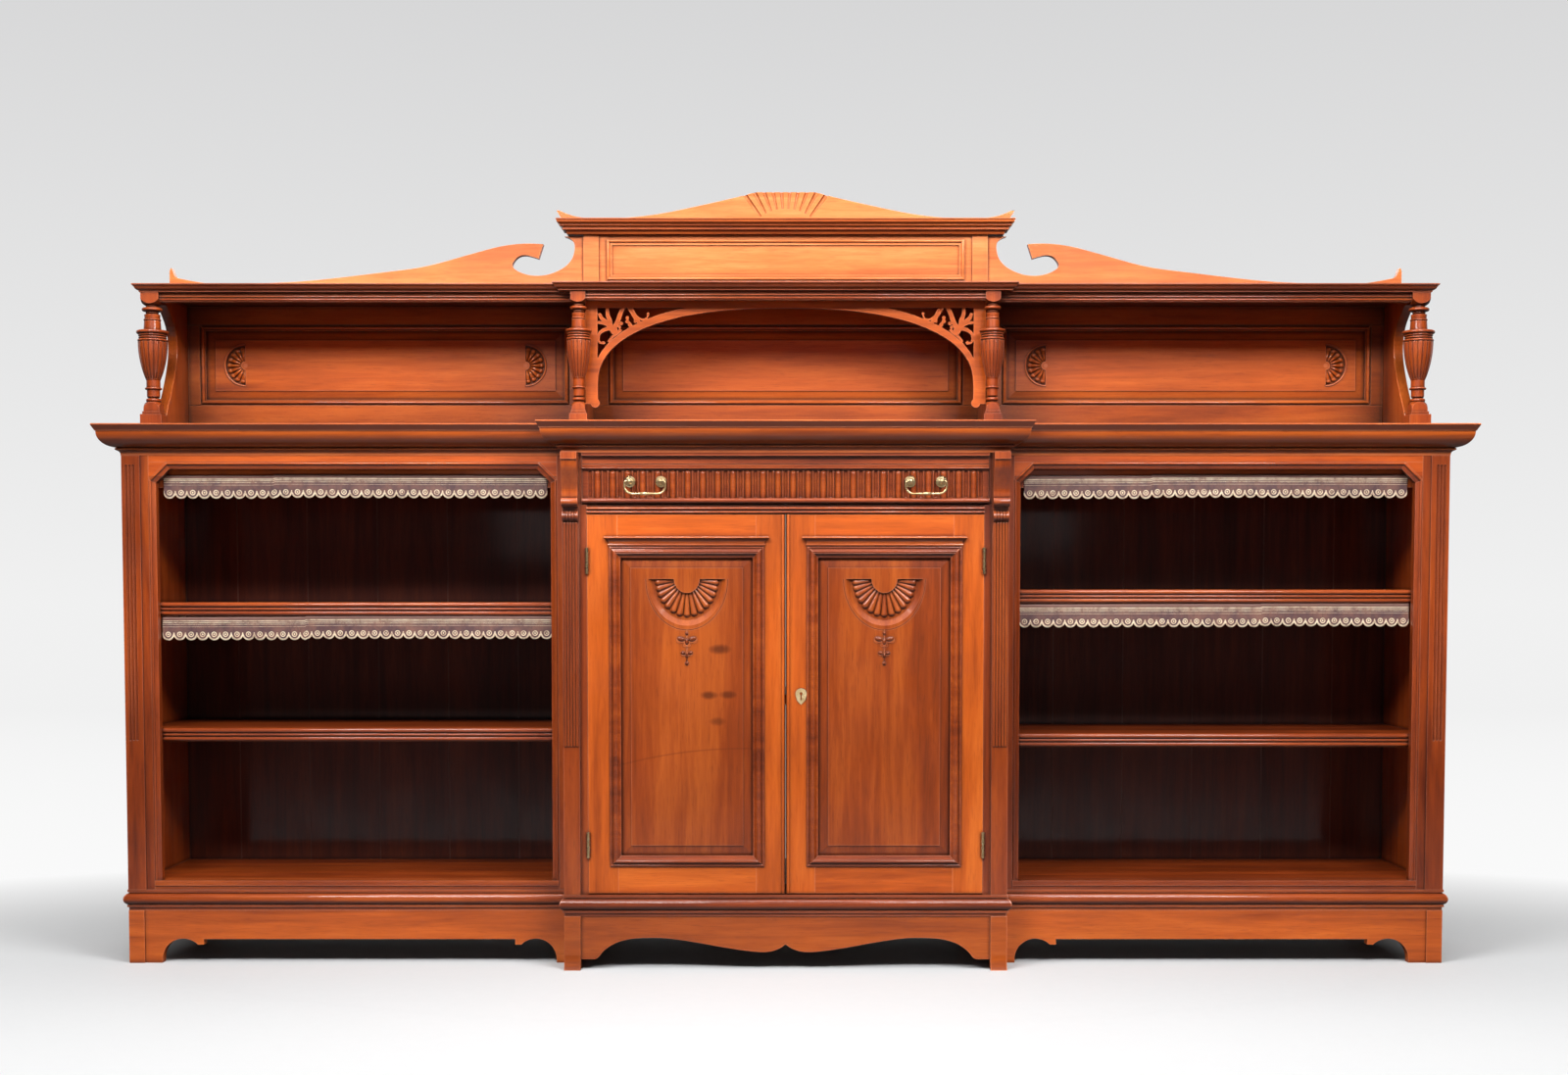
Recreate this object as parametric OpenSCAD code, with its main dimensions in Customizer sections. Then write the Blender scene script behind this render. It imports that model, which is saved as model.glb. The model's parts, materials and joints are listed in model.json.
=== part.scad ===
// Breakfront bookcase with a galleried upper stage, in millimetres.
// X runs to the right, Y to the wall and Z up. The origin is on the floor under the middle of the box.

/* [Case] */
// Width of the case over its end panels
case_w = 2600; // [2400:10:2800]
// Depth of a wing from its face to the wall
wing_d = 345; // [320:5:380]
// How far the centre stands in front of the wings
break_d = 75; // [60:5:90]
// Width of the centre over its pilasters
centre_w = 860; // [820:10:900]
// Thickness of the case boards
board_t = 22; // [19:1:25]
// Thickness of the back boards
back_t = 10; // [8:1:12]
// Width of a back board
back_board_w = 149; // [125:1:170]
// Thickness of the bottom boards
bottom_t = 18; // [15:1:20]

/* [Plinth and mouldings] */
// Height of the plinth under the base moulding
plinth_h = 105; // [95:1:115]
// Height of the base moulding
base_h = 41; // [38:1:46]
// How far the base moulding stands out
base_out = 9; // [7:1:11]
// Height of the gap under the wing rails
wing_gap = 47; // [40:1:55]
// Radius of the arch beside a bracket foot
arch_r = 41; // [34:1:44]
// Width of an outer bracket foot
foot_w = 65; // [55:1:75]
// Height of the cornice under the counter top
cornice_h = 42; // [38:1:48]
// How far the counter top stands out over the case
cornice_out = 45; // [42:1:52]
// Thickness of the counter top
counter_t = 17; // [15:1:20]

/* [Wings] */
// Width of the fluted strip on the outer stiles
strip_w = 36; // [32:1:40]
// How far the fluted strip stands out
strip_out = 3; // [2:0.5:4]
// Width of the plain stiles
stile_w = 18; // [16:1:22]
// Width of the sight moulding
sight_w = 13; // [11:1:15]
// Cut of the opening's top corners
corner_cut = 27; // [20:1:34]
// Thickness of a shelf
shelf_t = 27; // [22:1:30]
// Top of the left wing's upper shelf
left_upper = 714; // [660:1:780]
// Top of the left wing's lower shelf
left_lower = 465; // [380:1:560]
// Top of the right wing's upper shelf
right_upper = 739; // [660:1:780]
// Top of the right wing's lower shelf
right_lower = 454; // [380:1:560]
// Drop of a leather fringe
fringe_h = 46; // [38:1:54]
// Thickness of the leather
leather_t = 2; // [1.5:0.1:3]
// Width of one scallop
scallop_w = 22.6; // [18:0.2:28]

/* [Doors and drawer] */
// Height of the doors
door_h = 734.5; // [680:0.5:800]
// Thickness of the doors
door_t = 22; // [20:1:25]
// How far the doors lie behind the pilasters
door_back = 10; // [8:1:14]
// Gap between the two doors
meeting_gap = 3; // [2:0.5:4]
// Width of the pilasters
pilaster_w = 32; // [28:1:36]
// Width of the hanging stiles in front of the partitions
hang_w = 14.5; // [12:0.5:18]
// Width of the stiles and rails of a door
door_rail = 55.5; // [50:0.5:62]
// Height of the drawer front
drawer_h = 75; // [70:1:90]
// Height of the rail between the doors and the drawer
rail_under = 21; // [19:0.5:24]
// Height of the rail between the drawer and the cornice
rail_over = 22; // [20:0.5:26]
// Depth of the drawer behind its front
drawer_d = 345; // [310:5:350]
// Pitch of the ribs on the drawer front
rib_pitch = 29; // [24:1:34]
// Distance between the posts of a handle
post_gap = 60; // [50:1:70]
// How far a handle stands in from the end of the drawer
handle_in = 122; // [90:1:150]

/* [Upper stage] */
// Height of the columns
column_h = 277; // [250:1:300]
// Widest diameter of the outer columns
outer_belly = 58; // [52:1:62]
// Widest diameter of the inner columns
inner_belly = 48; // [42:1:52]
// Thickness of the upper shelf
top_shelf_t = 16; // [14:1:20]
// Rise of the crest tips over the upper shelf
crest_h = 115; // [100:1:130]
// Height of the centre tablet
tablet_h = 132; // [124:1:145]
// Height of the small cornice on the tablet
cap_h = 30; // [26:1:34]
// Height of the pediment
pediment_h = 60; // [50:1:66]
// Reeds round a column
reeds = 18; // [14:1:22]

/* [Fits] */
// Gap at a glued joint between two pieces of wood
joint = 0.2; // [0.1:0.05:0.3]
// Gap between a moving piece and its seat
run = 0.3; // [0.25:0.05:0.4]

/* [Hidden] */
$fn = 48;

MAHOGANY = [0.52, 0.20, 0.08];
PALE = [0.66, 0.30, 0.12];
DEEP = [0.32, 0.11, 0.06];
LEATHER = [0.30, 0.17, 0.17];
BRASS = [0.72, 0.58, 0.32];

// Planes and levels of the case
half_w = case_w / 2;
half_c = centre_w / 2;
rear_y = (wing_d + break_d + cornice_out) / 2;
wing_y = rear_y - wing_d;
centre_y = wing_y - break_d;
inner_y = wing_y + board_t;
post_back = centre_y + board_t;
back_y = rear_y - back_t;
case_z = plinth_h + base_h;
floor_z = case_z + bottom_t;
door_lift = 2.5;
door_z = case_z + door_lift;
door_top = door_z + door_h;
drawer_z = door_top + rail_under;
frame_z = drawer_z + drawer_h + rail_over;
under_top = frame_z + cornice_h;
top_z = under_top + counter_t;
end_x = half_w - board_t;
part_x = half_c - board_t;
post_x = half_c - pilaster_w;

// Openings of the wings
open_in = half_c + stile_w + sight_w;
open_out = half_w - strip_w - stile_w - sight_w + 2;
open_z = frame_z - 26;
fringe_x0 = open_in + 9;
fringe_x1 = open_out - 9;
shelf_y = inner_y + run;
shelf_back = back_y - run;
peg_r = 3;
peg_l = 12;
batten_gap = 6;
batten_t = 20;

// Doors and drawer
door_y = centre_y + door_back;
door_rear = door_y + door_t;
door_out = post_x - hang_w - 0.5;
door_in = meeting_gap / 2;
door_edge = 0.5;
axis_r = 3.5;
axis_x = door_out + door_edge / 2;
axis_y = door_y - axis_r;
pin_r = 1.7;
knuckle_bore = 1.78;
hinge_l = 50;
hinge_z = [door_z + 94, door_top - 89];
leaf_t = 1.5;
leaf_d = 18;
knuckles = 5;
sight_in = door_rail + 7.5;
field_in = 19;
bolection_w = 22;
bolection_lap = 6;
panel_drop = 6;
bottom_rail = 67.5;
top_rail = 77;
drawer_half = post_x - 6;
hang_back = door_rear + 6;
drawer_side = 12;
drawer_floor = 6;
lip = 10;
side_x = drawer_half - 2.5;
runner_w = 14;
runner_h = 14;
side_top = drawer_z + 61;
box_z = drawer_z + 0.8;
handle_x = drawer_half - handle_in;
post_z = drawer_z + 42;
bail_drop = 24;
bail_r = 2.2;
bail_half = 39.5;
eye_r = 4.6;
post_out = 15;
lock_x = 30;
lock_z = door_z + 384;
lock_w = 44;
lock_h = 66;
lock_t = 12;
bolt_t = 5;
bolt_h = 14;
bolt_throw = 6;

// Upper stage
stage_z = top_z + column_h;
shelf_top = stage_z + top_shelf_t;
tablet_z = shelf_top + tablet_h;
cap_z = tablet_z + cap_h;
outer_x = half_w - 20;
outer_y = wing_y + 143.5;
inner_x = half_c - 14;
column_y = outer_y - 25;
gallery_y = rear_y - board_t;
upright_t = 20;
upright_cut = 84;
upright_x = half_w - 38;
inner_up = half_c - 25;
shelf_half = half_w + 12;
shelf_front = outer_y - 31;
shelf_mid = half_c + 36;
shelf_step = 25;
frieze_h = 18;
crest_t = 18;
crest_y = rear_y - crest_t - 6;
tablet_half = inner_up + upright_t;
tablet_t = 20;
tablet_y = rear_y - tablet_t - 6;
cap_over = 32;
cap_front = 12;

// Helpers
function unit(v) = v / norm(v);
function left_of(a, b) = let (d = unit(b - a)) [-d[1], d[0]];
function mitre_at(path, i, closed) =
    let (n = len(path),
        before = closed || i > 0 ? left_of(path[(i + n - 1) % n], path[i]) : left_of(path[i], path[i + 1]),
        after = closed || i < n - 1 ? left_of(path[i], path[(i + 1) % n]) : before)
    (before + after) / (1 + before * after);
function bend(a, b, c, d, t) =
    0.5 * (2 * b + (c - a) * t + (2 * a - 5 * b + 4 * c - d) * t * t + (3 * b - a - 3 * c + d) * t * t * t);
function smooth(p, steps = 4) =
    [for (i = [0 : len(p) - 2]) for (s = [0 : steps - 1])
        bend(p[max(i - 1, 0)], p[i], p[i + 1], p[min(i + 2, len(p) - 1)], s / steps), p[len(p) - 1]];
function flip(p) = [for (i = [len(p) - 1 : -1 : 0]) [-p[i][0], p[i][1]]];
function oval(a, b, angle) = 1 / sqrt(pow(sin(angle) / a, 2) + pow(cos(angle) / b, 2));

module block(x0, x1, y0, y1, z0, z1) {
    translate([x0, y0, z0]) cube([x1 - x0, y1 - y0, z1 - z0]);
}
// An outline in X and Z made a board, with its face at y
module board(y, t) {
    translate([0, y + t, 0]) rotate([90, 0, 0]) linear_extrude(t) children();
}
// A solid drawn flat, with its height turned to the front of the plane at y
module upright(y) {
    translate([0, y, 0]) rotate([90, 0, 0]) children();
}
// An outline in Y and Z made a piece from x0 to x1
module side_board(x0, x1) {
    translate([x0, 0, 0]) rotate([90, 0, 90]) linear_extrude(x1 - x0) children();
}
module both() {
    children();
    mirror([1, 0, 0]) children();
}
// The same for an outline, whose halves meet at 0
module both2() {
    children();
    mirror([1, 0]) children();
}
module linear_z(z0, z1) {
    translate([0, 0, z0]) linear_extrude(z1 - z0) children();
}
// One mitred length of a moulding whose section stands left of the path
module length_of(path, i, lo, hi, closed, gap) {
    over = 80;
    a = path[i];
    b = path[(i + 1) % len(path)];
    ma = mitre_at(path, i, closed);
    mb = mitre_at(path, (i + 1) % len(path), closed);
    d = unit(b - a);
    trim = d * gap / 2;
    intersection() {
        translate([a[0], a[1], 0]) rotate([0, 0, atan2(d[1], d[0])]) translate([-over, 0, 0])
            rotate([90, 0, 90]) linear_extrude(norm(b - a) + 2 * over) children();
        translate([0, 0, -over]) linear_extrude(2 * over)
            polygon([a + ma * lo + trim, b + mb * lo - trim, b + mb * hi - trim, a + ma * hi + trim]);
    }
}
module moulding(path, lo, hi, closed = false, gap = joint) {
    for (i = [0 : len(path) - (closed ? 1 : 2)]) length_of(path, i, lo, hi, closed, gap) children();
}
// A rod with round ends along Z, for flutes and ribs
module bullet(r, l) {
    rotate_extrude() intersection() {
        union() {
            square([r, l - r]);
            translate([0, l - r]) circle(r);
        }
        square([r, l]);
    }
}
module capsule(r, l) {
    rotate_extrude() intersection() {
        union() {
            translate([0, r]) square([r, l - 2 * r]);
            translate([0, r]) circle(r);
            translate([0, l - r]) circle(r);
        }
        square([r, l]);
    }
}
// A raised and fielded panel, drawn flat with its back at 0, and flat as far in as lap
module panel_section(s, edge, slope, field, margin, lap) {
    polygon([[0, 0], [0, edge], [lap, edge], [margin, slope], [margin, field], [s - margin, field],
        [s - margin, slope], [s - lap, edge], [s, edge], [s, 0]]);
}
module fielded_panel(w, h, edge, slope, field, margin, lap) {
    intersection() {
        translate([0, h, 0]) rotate([90, 0, 0]) linear_extrude(h)
            panel_section(w, edge, slope, field, margin, lap);
        rotate([90, 0, 90]) linear_extrude(w) panel_section(h, edge, slope, field, margin, lap);
    }
}
// Half an oval, hanging down from 0
module half_oval(a, b) {
    polygon([for (t = [180 : 7.5 : 360]) [a * cos(t), b * sin(t)]]);
}
// What lies under 0 of a solid that stands on the plane at 0
module lower_half(reach, deep) {
    intersection() {
        children();
        translate([-reach, -reach, 0]) cube([2 * reach, reach, deep]);
    }
}
// Petals of a carved shell that fan out and down from 0, lying on the plane at 0
module petals(count, spread, start_a, start_b, end_a, end_b, thin, thick) {
    for (i = [0 : count - 1]) {
        turn = -spread / 2 + spread * i / (count - 1);
        from = oval(start_a, start_b, turn);
        to = oval(end_a, end_b, turn) - thick;
        rotate([0, 0, turn]) rotate([90, 0, 0]) {
            translate([0, 0, from]) cylinder(h = to - from, r1 = thin, r2 = thick, $fn = 24);
            translate([0, 0, to]) sphere(r = thick, $fn = 24);
        }
    }
}
// The case outline from above, right rear corner round the front to the left rear corner
function case_path() = [[half_w, rear_y], [half_w, wing_y], [half_c, wing_y], [half_c, centre_y],
    [-half_c, centre_y], [-half_c, wing_y], [-half_w, wing_y], [-half_w, rear_y]];

// Lower edge of a rail between two bracket feet, from 0 to w
module bracket_rail(w, foot_a, foot_b) {
    cusp = 11;
    cusp_z = wing_gap - cusp;
    reach = arch_r + 30;
    gap = w - foot_a - foot_b - 2 * reach;
    module arch_cut() {
        intersection() {
            union() {
                translate([arch_r, 7]) circle(arch_r);
                translate([0, -1]) square([reach, 8]);
            }
            translate([0, -1]) square([reach, plinth_h]);
        }
    }
    difference() {
        square([w, plinth_h]);
        translate([foot_a, 0]) arch_cut();
        translate([w - foot_b, 0]) mirror([1, 0]) arch_cut();
        translate([foot_a + reach - joint, -1]) square([gap + 2 * joint, cusp_z + 1]);
        translate([foot_a + reach + cusp, -1]) square([gap - 2 * cusp, wing_gap + 1]);
    }
}

module plinth_wing() {
    color(PALE) {
        board(wing_y, board_t) translate([half_c, 0]) bracket_rail(half_w - half_c, 24, foot_w);
        block(half_w - 31, half_w, wing_y - strip_out, wing_y - joint, 0, plinth_h);
        side_board(end_x, half_w) translate([inner_y + joint, 0])
            bracket_rail(rear_y - inner_y - joint, 30, foot_w);
    }
}
module plinth_left() {
    mirror([1, 0, 0]) plinth_wing();
}
module plinth_right() {
    plinth_wing();
}
module plinth_centre() {
    rail_y = centre_y + 2;
    edge = smooth([[0, 49], [12, 41], [28, 35.5], [48, 34], [80, 37], [125, 44], [180, 54], [230, 61],
        [265, 62], [300, 60], [330, 52], [352, 38], [364, 24], [370, 20]], 3);
    toe = 8;
    color(PALE) {
        board(rail_y, board_t - 2) polygon(concat(
            [[-post_x + joint, plinth_h], [-post_x + joint, 20]], flip(edge),
            [for (i = [1 : len(edge) - 1]) edge[i]],
            [[post_x - joint, 20], [post_x - joint, plinth_h]]));
        both() side_board(post_x, half_c) polygon(concat([[post_back, 0], [post_back, plinth_h],
            [centre_y - strip_out, plinth_h]], smooth([[centre_y - strip_out, 40],
            [centre_y - strip_out - 1, 25], [centre_y - strip_out - 4, 10],
            [centre_y - strip_out - toe, 0]])));
        both() block(part_x, half_c, post_back + joint, inner_y, 0, plinth_h);
    }
}
module plinth_back() {
    foot = 60;
    color(DEEP) {
        block(-end_x + joint, end_x - joint, rear_y - board_t, rear_y, wing_gap, case_z);
        both() block(end_x - foot, end_x - joint, rear_y - board_t, rear_y, 0, wing_gap - joint);
        both() block(part_x - foot / 2, part_x + foot / 2, rear_y - board_t, rear_y, 0, wing_gap - joint);
    }
}
module base_moulding() {
    r = base_h * 0.3;
    color(MAHOGANY) translate([0, 0, plinth_h]) moulding(case_path(), -board_t, base_out) {
        union() {
            translate([-board_t, 0]) square([board_t, base_h]);
            translate([0, base_h * 0.16]) square([base_out * 0.33, base_h * 0.1]);
            translate([base_out - r, base_h * 0.55]) circle(r);
            translate([0, base_h - 5]) square([base_out * 0.25, 5]);
        }
    }
}
module bottom_boards() {
    nose = 2;
    color(MAHOGANY) {
        both() block(half_c + joint, end_x - joint, inner_y, back_y - joint, case_z, floor_z);
        both() side_board(half_c + stile_w + joint, half_w - strip_w - stile_w + 2 - joint) union() {
            translate([wing_y, case_z]) square([board_t - joint, 6]);
            translate([wing_y, case_z + 6]) square([board_t - joint, bottom_t - 6]);
            translate([wing_y - nose, case_z + 8]) square([nose, bottom_t - 8]);
        }
        linear_z(case_z, floor_z) both2() polygon([[0, door_rear + 0.5], [door_out, door_rear + 0.5],
            [door_out, hang_back + joint], [part_x - joint, hang_back + joint],
            [part_x - joint, back_y - joint], [0, back_y - joint]]);
    }
}
module end_panel() {
    color(MAHOGANY) block(end_x, half_w, inner_y + joint, rear_y, case_z, under_top);
}
module end_panel_left() {
    mirror([1, 0, 0]) end_panel();
}
module end_panel_right() {
    end_panel();
}
module partition() {
    color(MAHOGANY) block(part_x, half_c, post_back + joint, back_y, case_z, under_top);
}
module partition_left() {
    mirror([1, 0, 0]) partition();
}
module partition_right() {
    partition();
}
// Upright boards, narrower over the centre so that the joints fall behind the partitions' lines
module back_boards() {
    first = half_c - 8;
    inner = round(first * 2 / back_board_w);
    count = ceil((end_x - first) / back_board_w);
    color(DEEP) {
        for (i = [0 : inner - 1]) {
            w = 2 * first / inner;
            block(-first + i * w + joint, -first + (i + 1) * w - joint, back_y, rear_y, case_z, under_top);
        }
        both() for (i = [0 : count - 1]) {
            x0 = first + i * back_board_w;
            x1 = min(first + (i + 1) * back_board_w, end_x);
            block(x0 + joint, x1 - joint, back_y, rear_y, case_z, under_top);
        }
    }
}

// Face frame of the right wing
module face_frame() {
    outer = half_w - strip_w - stile_w + 2;
    inner = half_c + stile_w;
    top = open_z + sight_w;
    path = [[open_in, floor_z], [open_in, open_z - corner_cut], [open_in + corner_cut, open_z],
        [open_out - corner_cut, open_z], [open_out, open_z - corner_cut], [open_out, floor_z]];
    m = mitre_at(path, 1, false);
    cut = corner_cut + sight_w * (1 - m[1]) - joint;
    flute_r = 2.6;
    flute_gap = 6.8;
    flute_z = case_z + 295;
    color(MAHOGANY) {
        difference() {
            union() {
                block(outer, half_w, wing_y, inner_y, case_z, under_top);
                block(half_w - strip_w, half_w, wing_y - strip_out, wing_y, case_z, frame_z);
            }
            for (i = [0 : 2]) translate([half_w - 9.5 - i * flute_gap, wing_y - strip_out - 0.6, flute_z])
                capsule(flute_r, open_z + 8 - flute_z);
        }
        block(half_c, inner - joint, wing_y, inner_y, case_z, under_top);
        block(inner, outer - joint, wing_y, inner_y, top + joint, under_top);
        corner(inner, 1, top, cut);
        corner(outer - joint, -1, top, cut);
        upright(inner_y) moulding(path, joint / 2, sight_w - joint / 2) sight_section();
        block(half_c + 30, end_x - 10, inner_y + batten_gap, inner_y + batten_gap + batten_t,
            open_z - 35, under_top);
    }
    module corner(x, side, z, reach) {
        board(wing_y, board_t) polygon([[x, z], [x + side * reach, z], [x, z - reach]]);
    }
    module sight_section() {
        union() {
            square([sight_w, board_t - 5]);
            polygon([[0, board_t - 5], [sight_w, board_t - 5], [sight_w, board_t], [sight_w - 3, board_t],
                [sight_w * 0.45, board_t - 2.5]]);
            translate([sight_w - 3, board_t - 1]) circle(2.6);
        }
    }
}
module face_frame_left() {
    mirror([1, 0, 0]) face_frame();
}
module face_frame_right() {
    face_frame();
}

// Pilaster of the centre with its hanging stile, right side
module pilaster() {
    reed_n = 5;
    reed_r = 2.7;
    reed_z0 = case_z + 288;
    reed_z1 = door_top - 15;
    step = (pilaster_w - 4) / reed_n;
    roll_r = 10;
    color(MAHOGANY) {
        block(post_x, half_c, centre_y, post_back, case_z, under_top);
        for (i = [0 : reed_n - 1])
            translate([post_x + 2 + step * (i + 0.5), centre_y - joint, reed_z0])
                difference() {
                    capsule(reed_r, reed_z1 - reed_z0);
                    block(-roll_r, roll_r, 0, roll_r, -roll_r, 2 * reed_z1);
                }
        difference() {
            side_board(post_x + 1, half_c - 1) intersection() {
                translate([centre_y - 1, reed_z1 + roll_r + 1]) circle(roll_r);
                translate([centre_y - 2 * roll_r, reed_z1]) square([2 * roll_r - joint, 2 * roll_r + 2]);
            }
            for (i = [1 : reed_n - 1])
                translate([post_x + 2 + step * i, centre_y - 1, reed_z1 + roll_r + 1]) rotate([0, 90, 0])
                    rotate_extrude() translate([roll_r, 0]) circle(1.3, $fn = 16);
        }
        difference() {
            linear_z(case_z + joint, drawer_z - 2) polygon([[door_out + door_edge, door_y],
                [post_x - joint, door_y], [post_x - joint, post_back + joint],
                [part_x - joint, post_back + joint], [part_x - joint, hang_back],
                [door_out + door_edge, hang_back]]);
            for (z = hinge_z) block(door_out, door_out + door_edge + leaf_t, door_y - 1,
                door_y + leaf_d, z - hinge_l / 2 - joint, z + hinge_l / 2 + joint);
        }
        linear_z(drawer_z - 2 + joint, under_top) polygon([[drawer_half + 0.7, door_y],
            [post_x - joint, door_y], [post_x - joint, post_back + joint],
            [part_x - joint, post_back + joint], [part_x - joint, hang_back],
            [drawer_half + 0.7, hang_back]]);
    }
}
module pilaster_left() {
    mirror([1, 0, 0]) pilaster();
}
module pilaster_right() {
    pilaster();
}
// Scrolled corbel under the cornice, right side
module corbel() {
    y = centre_y - joint;
    z = frame_z - joint;
    face = smooth([[y - 29, z - 17], [y - 27, z - 30], [y - 20, z - 50], [y - 14, z - 70], [y - 13, z - 84]]);
    color(MAHOGANY) side_board(post_x + 0.5, half_c - 0.5) union() {
        polygon(concat([[y, z - 104], [y, z - 14], [y - 29, z - 14]], face, [[y - 8, z - 104]]));
        translate([y - 11, z - 95]) circle(8.5);
        translate([y - 33, z - 14]) square([33, 14]);
        translate([y - 30, z - 16]) square([30, 3]);
    }
}
module corbel_left() {
    mirror([1, 0, 0]) corbel();
}
module corbel_right() {
    corbel();
}
// Rail under the drawer and rail over it
module centre_rails() {
    z0 = door_top + 1.5;
    z1 = drawer_z - 2;
    color(MAHOGANY) {
        side_board(-door_out, door_out) union() {
            translate([door_y + 2, z0]) square([hang_back - door_y - 2, z1 - z0]);
            translate([door_y, z0 + 3]) circle(3);
            translate([door_y - 1, z0 + 10]) circle(3);
            translate([door_y, z0]) square([4, 12]);
        }
        side_board(-drawer_half, drawer_half) union() {
            translate([door_y, drawer_z + drawer_h + 1])
                square([door_t, under_top - drawer_z - drawer_h - 1]);
            translate([centre_y, frame_z - 6]) square([door_back, under_top - frame_z + 6]);
        }
    }
}
// Two beads, a cove and its fillets under the counter top
module counter_cornice() {
    lap = cornice_out - 7;
    r = lap - 8;
    color(MAHOGANY) translate([0, 0, frame_z]) moulding(case_path(), joint, lap) difference() {
        union() {
            square([4, cornice_h]);
            translate([2.5, 3]) circle(3);
            translate([0, 7]) square([8, cornice_h - 7]);
            translate([0, cornice_h - r - 2]) square([lap, r + 2]);
        }
        translate([lap, cornice_h - r - 2]) circle(r);
        translate([-lap, 0]) square([lap, cornice_h]);
    }
}
module counter_top() {
    body = cornice_out - 9;
    split = wing_y - body;
    color(PALE) {
        block(-half_w - body, half_w + body, split, rear_y, under_top, top_z);
        block(-half_c - body, half_c + body, centre_y - body, split - joint, under_top, top_z);
        translate([0, 0, under_top]) moulding(case_path(), body + joint, cornice_out) union() {
            square([body + 4, counter_t]);
            translate([body + 9 - 6, counter_t / 2]) circle(6);
        }
    }
}

// Shelf with a reeded front edge, lying between x0 and x1
module wing_shelf(x0, x1, z) {
    r = shelf_t * 0.2;
    color(MAHOGANY) side_board(x0, x1) union() {
        translate([shelf_y + r, z - shelf_t]) square([shelf_back - shelf_y - r, shelf_t]);
        translate([shelf_y + r, z - r]) circle(r);
        translate([shelf_y + r + 2, z - shelf_t + r]) circle(r);
        translate([shelf_y + r - 1, z - shelf_t / 2]) circle(r * 0.6);
    }
}
module shelf_upper_left() {
    wing_shelf(-end_x + run, -half_c - run, left_upper);
}
module shelf_lower_left() {
    wing_shelf(-end_x + run, -half_c - run, left_lower);
}
module shelf_upper_right() {
    wing_shelf(half_c + run, end_x - run, right_upper);
}
module shelf_lower_right() {
    wing_shelf(half_c + run, end_x - run, right_lower);
}
cupboard_z = (floor_z + door_top) / 2 + 10;
cupboard_t = 20;
module cupboard_shelf() {
    color(MAHOGANY) block(-part_x + run, part_x - run, door_rear + 30, shelf_back,
        cupboard_z - cupboard_t, cupboard_z);
}
module shelf_pegs() {
    color(BRASS) {
        for (z = [right_lower, right_upper]) pegs(half_c, end_x, z - shelf_t);
        mirror([1, 0, 0]) for (z = [left_lower, left_upper]) pegs(half_c, end_x, z - shelf_t);
        pegs(-part_x, part_x, cupboard_z - cupboard_t);
    }
    module pegs(x0, x1, z) {
        for (y = [inner_y + 55, back_y - 45]) {
            translate([x0, y, z - peg_r - 0.1]) rotate([0, 90, 0]) cylinder(h = peg_l, r = peg_r, $fn = 24);
            translate([x1 - peg_l, y, z - peg_r - 0.1]) rotate([0, 90, 0])
                cylinder(h = peg_l, r = peg_r, $fn = 24);
        }
    }
}
// Leather strip with a scalloped lower edge
module fringe(x0, x1, y, z) {
    count = round((x1 - x0) / scallop_w);
    pitch = (x1 - x0) / count;
    r = pitch / 2 + 0.6;
    color(LEATHER) board(y, leather_t) intersection() {
        union() {
            translate([x0, z - fringe_h + r]) square([x1 - x0, fringe_h - r]);
            for (i = [0 : count - 1]) translate([x0 + (i + 0.5) * pitch, z - fringe_h + r])
                circle(r, $fn = 24);
        }
        translate([x0, z - fringe_h]) square([x1 - x0, fringe_h]);
    }
}
module fringes(shelf) {
    fringe(fringe_x0, fringe_x1, inner_y + batten_gap - leather_t - run, open_z - 10);
    fringe(open_in + 1, open_out - 1, shelf_y + 1 + shelf_t * 0.2, shelf - shelf_t - run);
}
module fringes_left() {
    mirror([1, 0, 0]) fringes(left_upper);
}
module fringes_right() {
    fringes(right_upper);
}

// Runner, guide and kicker of the drawer on each side
module drawer_runners() {
    y0 = hang_back + joint;
    color(DEEP) both() {
        block(side_x - runner_w, part_x - joint, y0, back_y - joint, drawer_z - runner_h, box_z - run);
        block(side_x + run, part_x - joint, y0, back_y - joint, box_z - run + joint, side_top + 1 - joint);
        block(side_x - runner_w, part_x - joint, y0, back_y - joint, side_top + 1, side_top + runner_h);
    }
}
module drawer_front() {
    ground = door_y + 4;
    rib_r = 6;
    zone0 = drawer_z + lip + run;
    zone1 = drawer_z + drawer_h - 10;
    count = floor(2 * (drawer_half - 4) / rib_pitch);
    color(MAHOGANY) {
        difference() {
            block(-drawer_half, drawer_half, ground, door_rear - 2, drawer_z + run, drawer_z + drawer_h);
            for (i = [0 : count]) translate([(i - count / 2) * rib_pitch, ground - 0.8, zone0])
                capsule(3.4, zone1 - zone0 - 1);
        }
        for (i = [0 : count - 1]) translate([(i + 0.5 - count / 2) * rib_pitch, ground, zone0]) {
            half_rod(rib_r, zone1 - zone0 - 1);
            for (s = [-1, 1]) translate([s * 9, 0, 0]) half_rod(1.7, zone1 - zone0 - 2);
        }
        side_board(-drawer_half, drawer_half) union() {
            translate([ground - 7, drawer_z + run + lip / 2]) circle(lip / 2);
            translate([ground - 7, drawer_z + run]) square([7, lip]);
        }
        side_board(-drawer_half, drawer_half) union() {
            translate([ground - 5, zone1 + 5]) square([5, 5]);
            translate([ground - 4, zone1 + 3]) circle(2.6);
            translate([ground - 3, zone1 + 0.4]) square([3, 6]);
        }
    }
    module half_rod(r, l) {
        difference() {
            bullet(r, l);
            block(-r - 1, r + 1, 0, r + 1, -1, l + 1);
        }
    }
}
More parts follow.
